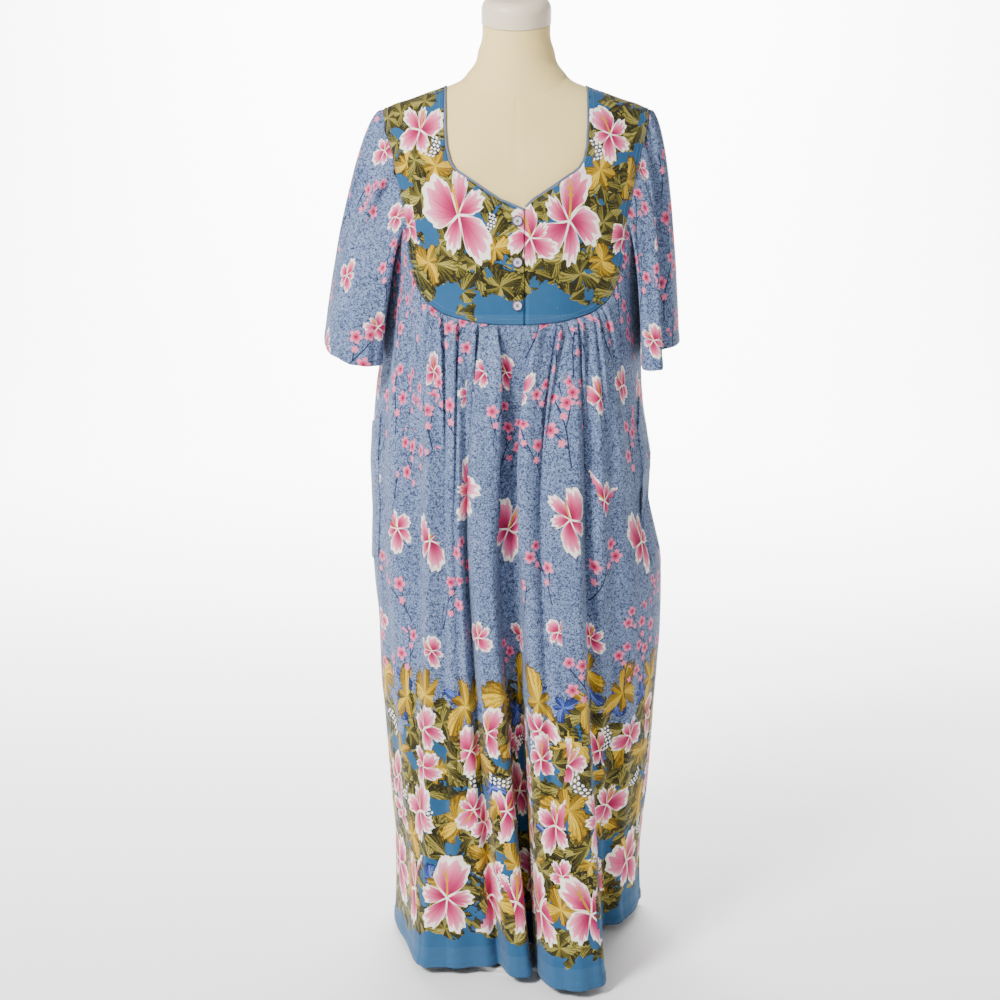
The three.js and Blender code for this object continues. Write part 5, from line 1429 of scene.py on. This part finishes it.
shader = addNode(tree, "ShaderNodeBsdfPrincipled", None, {
    "Base Color": colour, "Roughness": 0.85, "Normal": bump.outputs[0], "Sheen Weight": 0.1,
})
addNode(tree, "ShaderNodeOutputMaterial", None, {"Surface": shader.outputs[0]})
finishPiece(formCover, linen, "form_linen", "form_body")
print("form and stand made")

# Pearl buttons with four holes, their outer ring painted nearly black as shade at the edge, sewn on with dark
# thread. Sizes are in millimetres.
buttonSettings = {
    "radius": 7.5, "thick": 2.6, "bevel": 0.8, "ring": 1.7, "rim": 1.5, "dish": 0.9, "hole": 0.85,
    "reach": 1.9, "strand": 0.45, "strandLong": 4.2, "strandHigh": 1.9,
}
buttonLift = (0, 0.6, 0)
# Polished shell: pale lilac, glossy, with small soft clouds
pearl = plainMaterial(
    "pearlShell", "#A196AD", "#D8CFDF", cloud=260, grain=500, bump=0.05, rough=0.2, coat=0.5)
# Nearly black and glossy: painted shade on each button's outer ring, and the dark thread's own colour
shadedRimAndThread = plainMaterial(
    "paintedRimShadeAndThread", "#241F2B", "#4A4356", cloud=200, grain=500, bump=0.05, rough=0.3, coat=0.3)


def buttonAt(name, node, lift, s):
    made = cylinder(name, 48, s["radius"], 0, s["thick"])
    pick(made, "EDGE", sameHeight)
    bpy.ops.mesh.bevel(offset=s["bevel"], segments=3, affect="EDGES")
    pick(made, "FACE", lambda face: face.normal.z > 0.99)
    bpy.ops.mesh.inset(thickness=s["rim"] * 0.5)
    bpy.ops.mesh.inset(thickness=s["rim"] * 0.6)
    bpy.ops.transform.translate(value=(0, 0, -s["dish"]))
    bpy.ops.object.mode_set(mode="OBJECT")
    bpy.ops.object.select_all(action="DESELECT")
    drills = []
    for k in range(4):
        turn = math.radians(45 + 90 * k)
        place = (s["reach"] * math.cos(turn), s["reach"] * math.sin(turn), 0)
        bpy.ops.mesh.primitive_cylinder_add(
            vertices=16, radius=s["hole"], depth=0.01, location=place, calc_uvs=False)
        drills.append(bpy.context.active_object)
    for drill in drills:
        cut = made.modifiers.new("hole", "BOOLEAN")
        cut.object, cut.operation, cut.solver = drill, "DIFFERENCE", "EXACT"
        bpy.context.view_layer.objects.active = made
        bpy.ops.object.modifier_apply(modifier=cut.name)
    for drill in drills:
        bpy.data.objects.remove(drill)
    # The faces of the outer ring, which take the painted shade
    outer = [int(face.center.xy.length > s["radius"] - s["ring"]) for face in made.data.polygons]
    low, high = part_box(node)
    height = np.array([(low + high)[2] / 2 * 1000])
    seat = bodicePoint(1.0, angleTo(np.array([1.0]), height, "front"))[0]
    normal = Vector(bodiceNormal(seat[None])[0])
    turned = Vector((0, 0, 1)).rotation_difference(normal).to_matrix().to_4x4()
    at = (low + high) / 2 + normal * (lift * 0.001 - s["thick"] / 2)
    made.data.transform(Matrix.Translation(at) @ turned)
    bpy.ops.object.select_all(action="DESELECT")
    made.select_set(True)
    bpy.context.view_layer.objects.active = made
    bpy.ops.object.shade_smooth_by_angle(angle=math.radians(35))
    finishPiece(made, pearl, "button", node)
    made.data.materials.append(shadedRimAndThread)
    made.data.polygons.foreach_set("material_index", outer)
    return at, turned


# Two crossed strands of thread through a button's holes
def sewnAt(name, at, turned, s):
    crossed = []
    for turn in (45, 135):
        bpy.ops.object.select_all(action="DESELECT")
        lying = (0, math.pi / 2, math.radians(turn))
        bpy.ops.mesh.primitive_cylinder_add(
            vertices=10, radius=s["strand"], depth=s["strandLong"], rotation=lying)
        strand = bpy.context.active_object
        placeApplied()
        strand.data.transform(Matrix.Translation(at) @ turned @ Matrix.Translation((0, 0, s["strandHigh"])))
        crossed.append(strand)
    bpy.ops.object.select_all(action="DESELECT")
    for strand in crossed:
        strand.select_set(True)
    bpy.context.view_layer.objects.active = crossed[0]
    bpy.ops.object.join()
    sewing = bpy.context.active_object
    sewing.name = name
    bpy.ops.object.shade_smooth()
    finishPiece(sewing, shadedRimAndThread, "button")


inMetres = {key: value * 0.001 for key, value in buttonSettings.items()}
for k, lift in enumerate(buttonLift, 1):
    at, turned = buttonAt(f"button{k}", f"button_{k}", lift, inMetres)
    sewnAt(f"buttonThread{k}", at, turned, inMetres)
print("buttons sewn on")

# The pocket bags stay as they are, in the skirt's own speckled cotton
pocketCotton = printedCotton("printedCottonPocket", None, [])
for node in ("pocket_right", "pocket_left"):
    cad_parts[node].data.materials.clear()
    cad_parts[node].data.materials.append(pocketCotton)

# Floor that rises into a wall far behind, soft light from the front left, and the photograph's view
floor = {"half": 9, "back": 4.0, "bend": 2.5}
bpy.ops.object.select_all(action="DESELECT")
bpy.ops.mesh.primitive_grid_add(x_subdivisions=8, y_subdivisions=160, size=2 * floor["half"])
backdrop = begin("backdrop")
for vertex in backdrop.data.vertices:
    past = vertex.co.y - floor["back"]
    if past > 0:
        turn = min(past / floor["bend"], math.pi / 2)
        rest = max(past - floor["bend"] * math.pi / 2, 0)
        vertex.co.y = floor["back"] + floor["bend"] * math.sin(turn)
        vertex.co.z = floor["bend"] * (1 - math.cos(turn)) + rest
bpy.ops.object.shade_smooth()
# Matt white paper: no gloss and hardly any grain
paper = plainMaterial("whitePaper", "#F7F7F6", "#FBFBFA", cloud=1, grain=60, bump=0.02, rough=0.9)
backdrop.data.materials.append(paper)
lights = [
    ("key", (-2.3, -2.7, 3.3), 1.0, 350, (0, 0, 0.8)),
    ("wall", (0.0, 3.6, 4.4), 4.0, 2400, (0, 6.5, 1.2)),
]
for name, place, size, power, target in lights:
    lamp = bpy.data.lights.new(name, "AREA")
    lamp.energy, lamp.size = power, size
    holder = bpy.data.objects.new(name, lamp)
    holder.location = place
    holder.rotation_euler = (Vector(target) - Vector(place)).to_track_quat("-Z", "Y").to_euler()
    bpy.context.scene.collection.objects.link(holder)
skyStrength = 0.48
world = bpy.data.worlds.new("studio")
bpy.context.scene.world = world
world.use_nodes = True
sky = world.node_tree.nodes["Background"].inputs
sky[0].default_value = (1, 1, 1, 1)
sky[1].default_value = skyStrength
view = {"lens": 64.44, "sensor": 36, "place": (-0.023, -2.6, 1.30), "down": 12.6}
camera = bpy.data.cameras.new("camera")
camera.lens, camera.sensor_width = view["lens"], view["sensor"]
viewer = bpy.data.objects.new("camera", camera)
viewer.location = view["place"]
viewer.rotation_euler = (math.radians(90 - view["down"]), 0, 0)
bpy.context.scene.collection.objects.link(viewer)
bpy.context.scene.camera = viewer

print("scene ready")
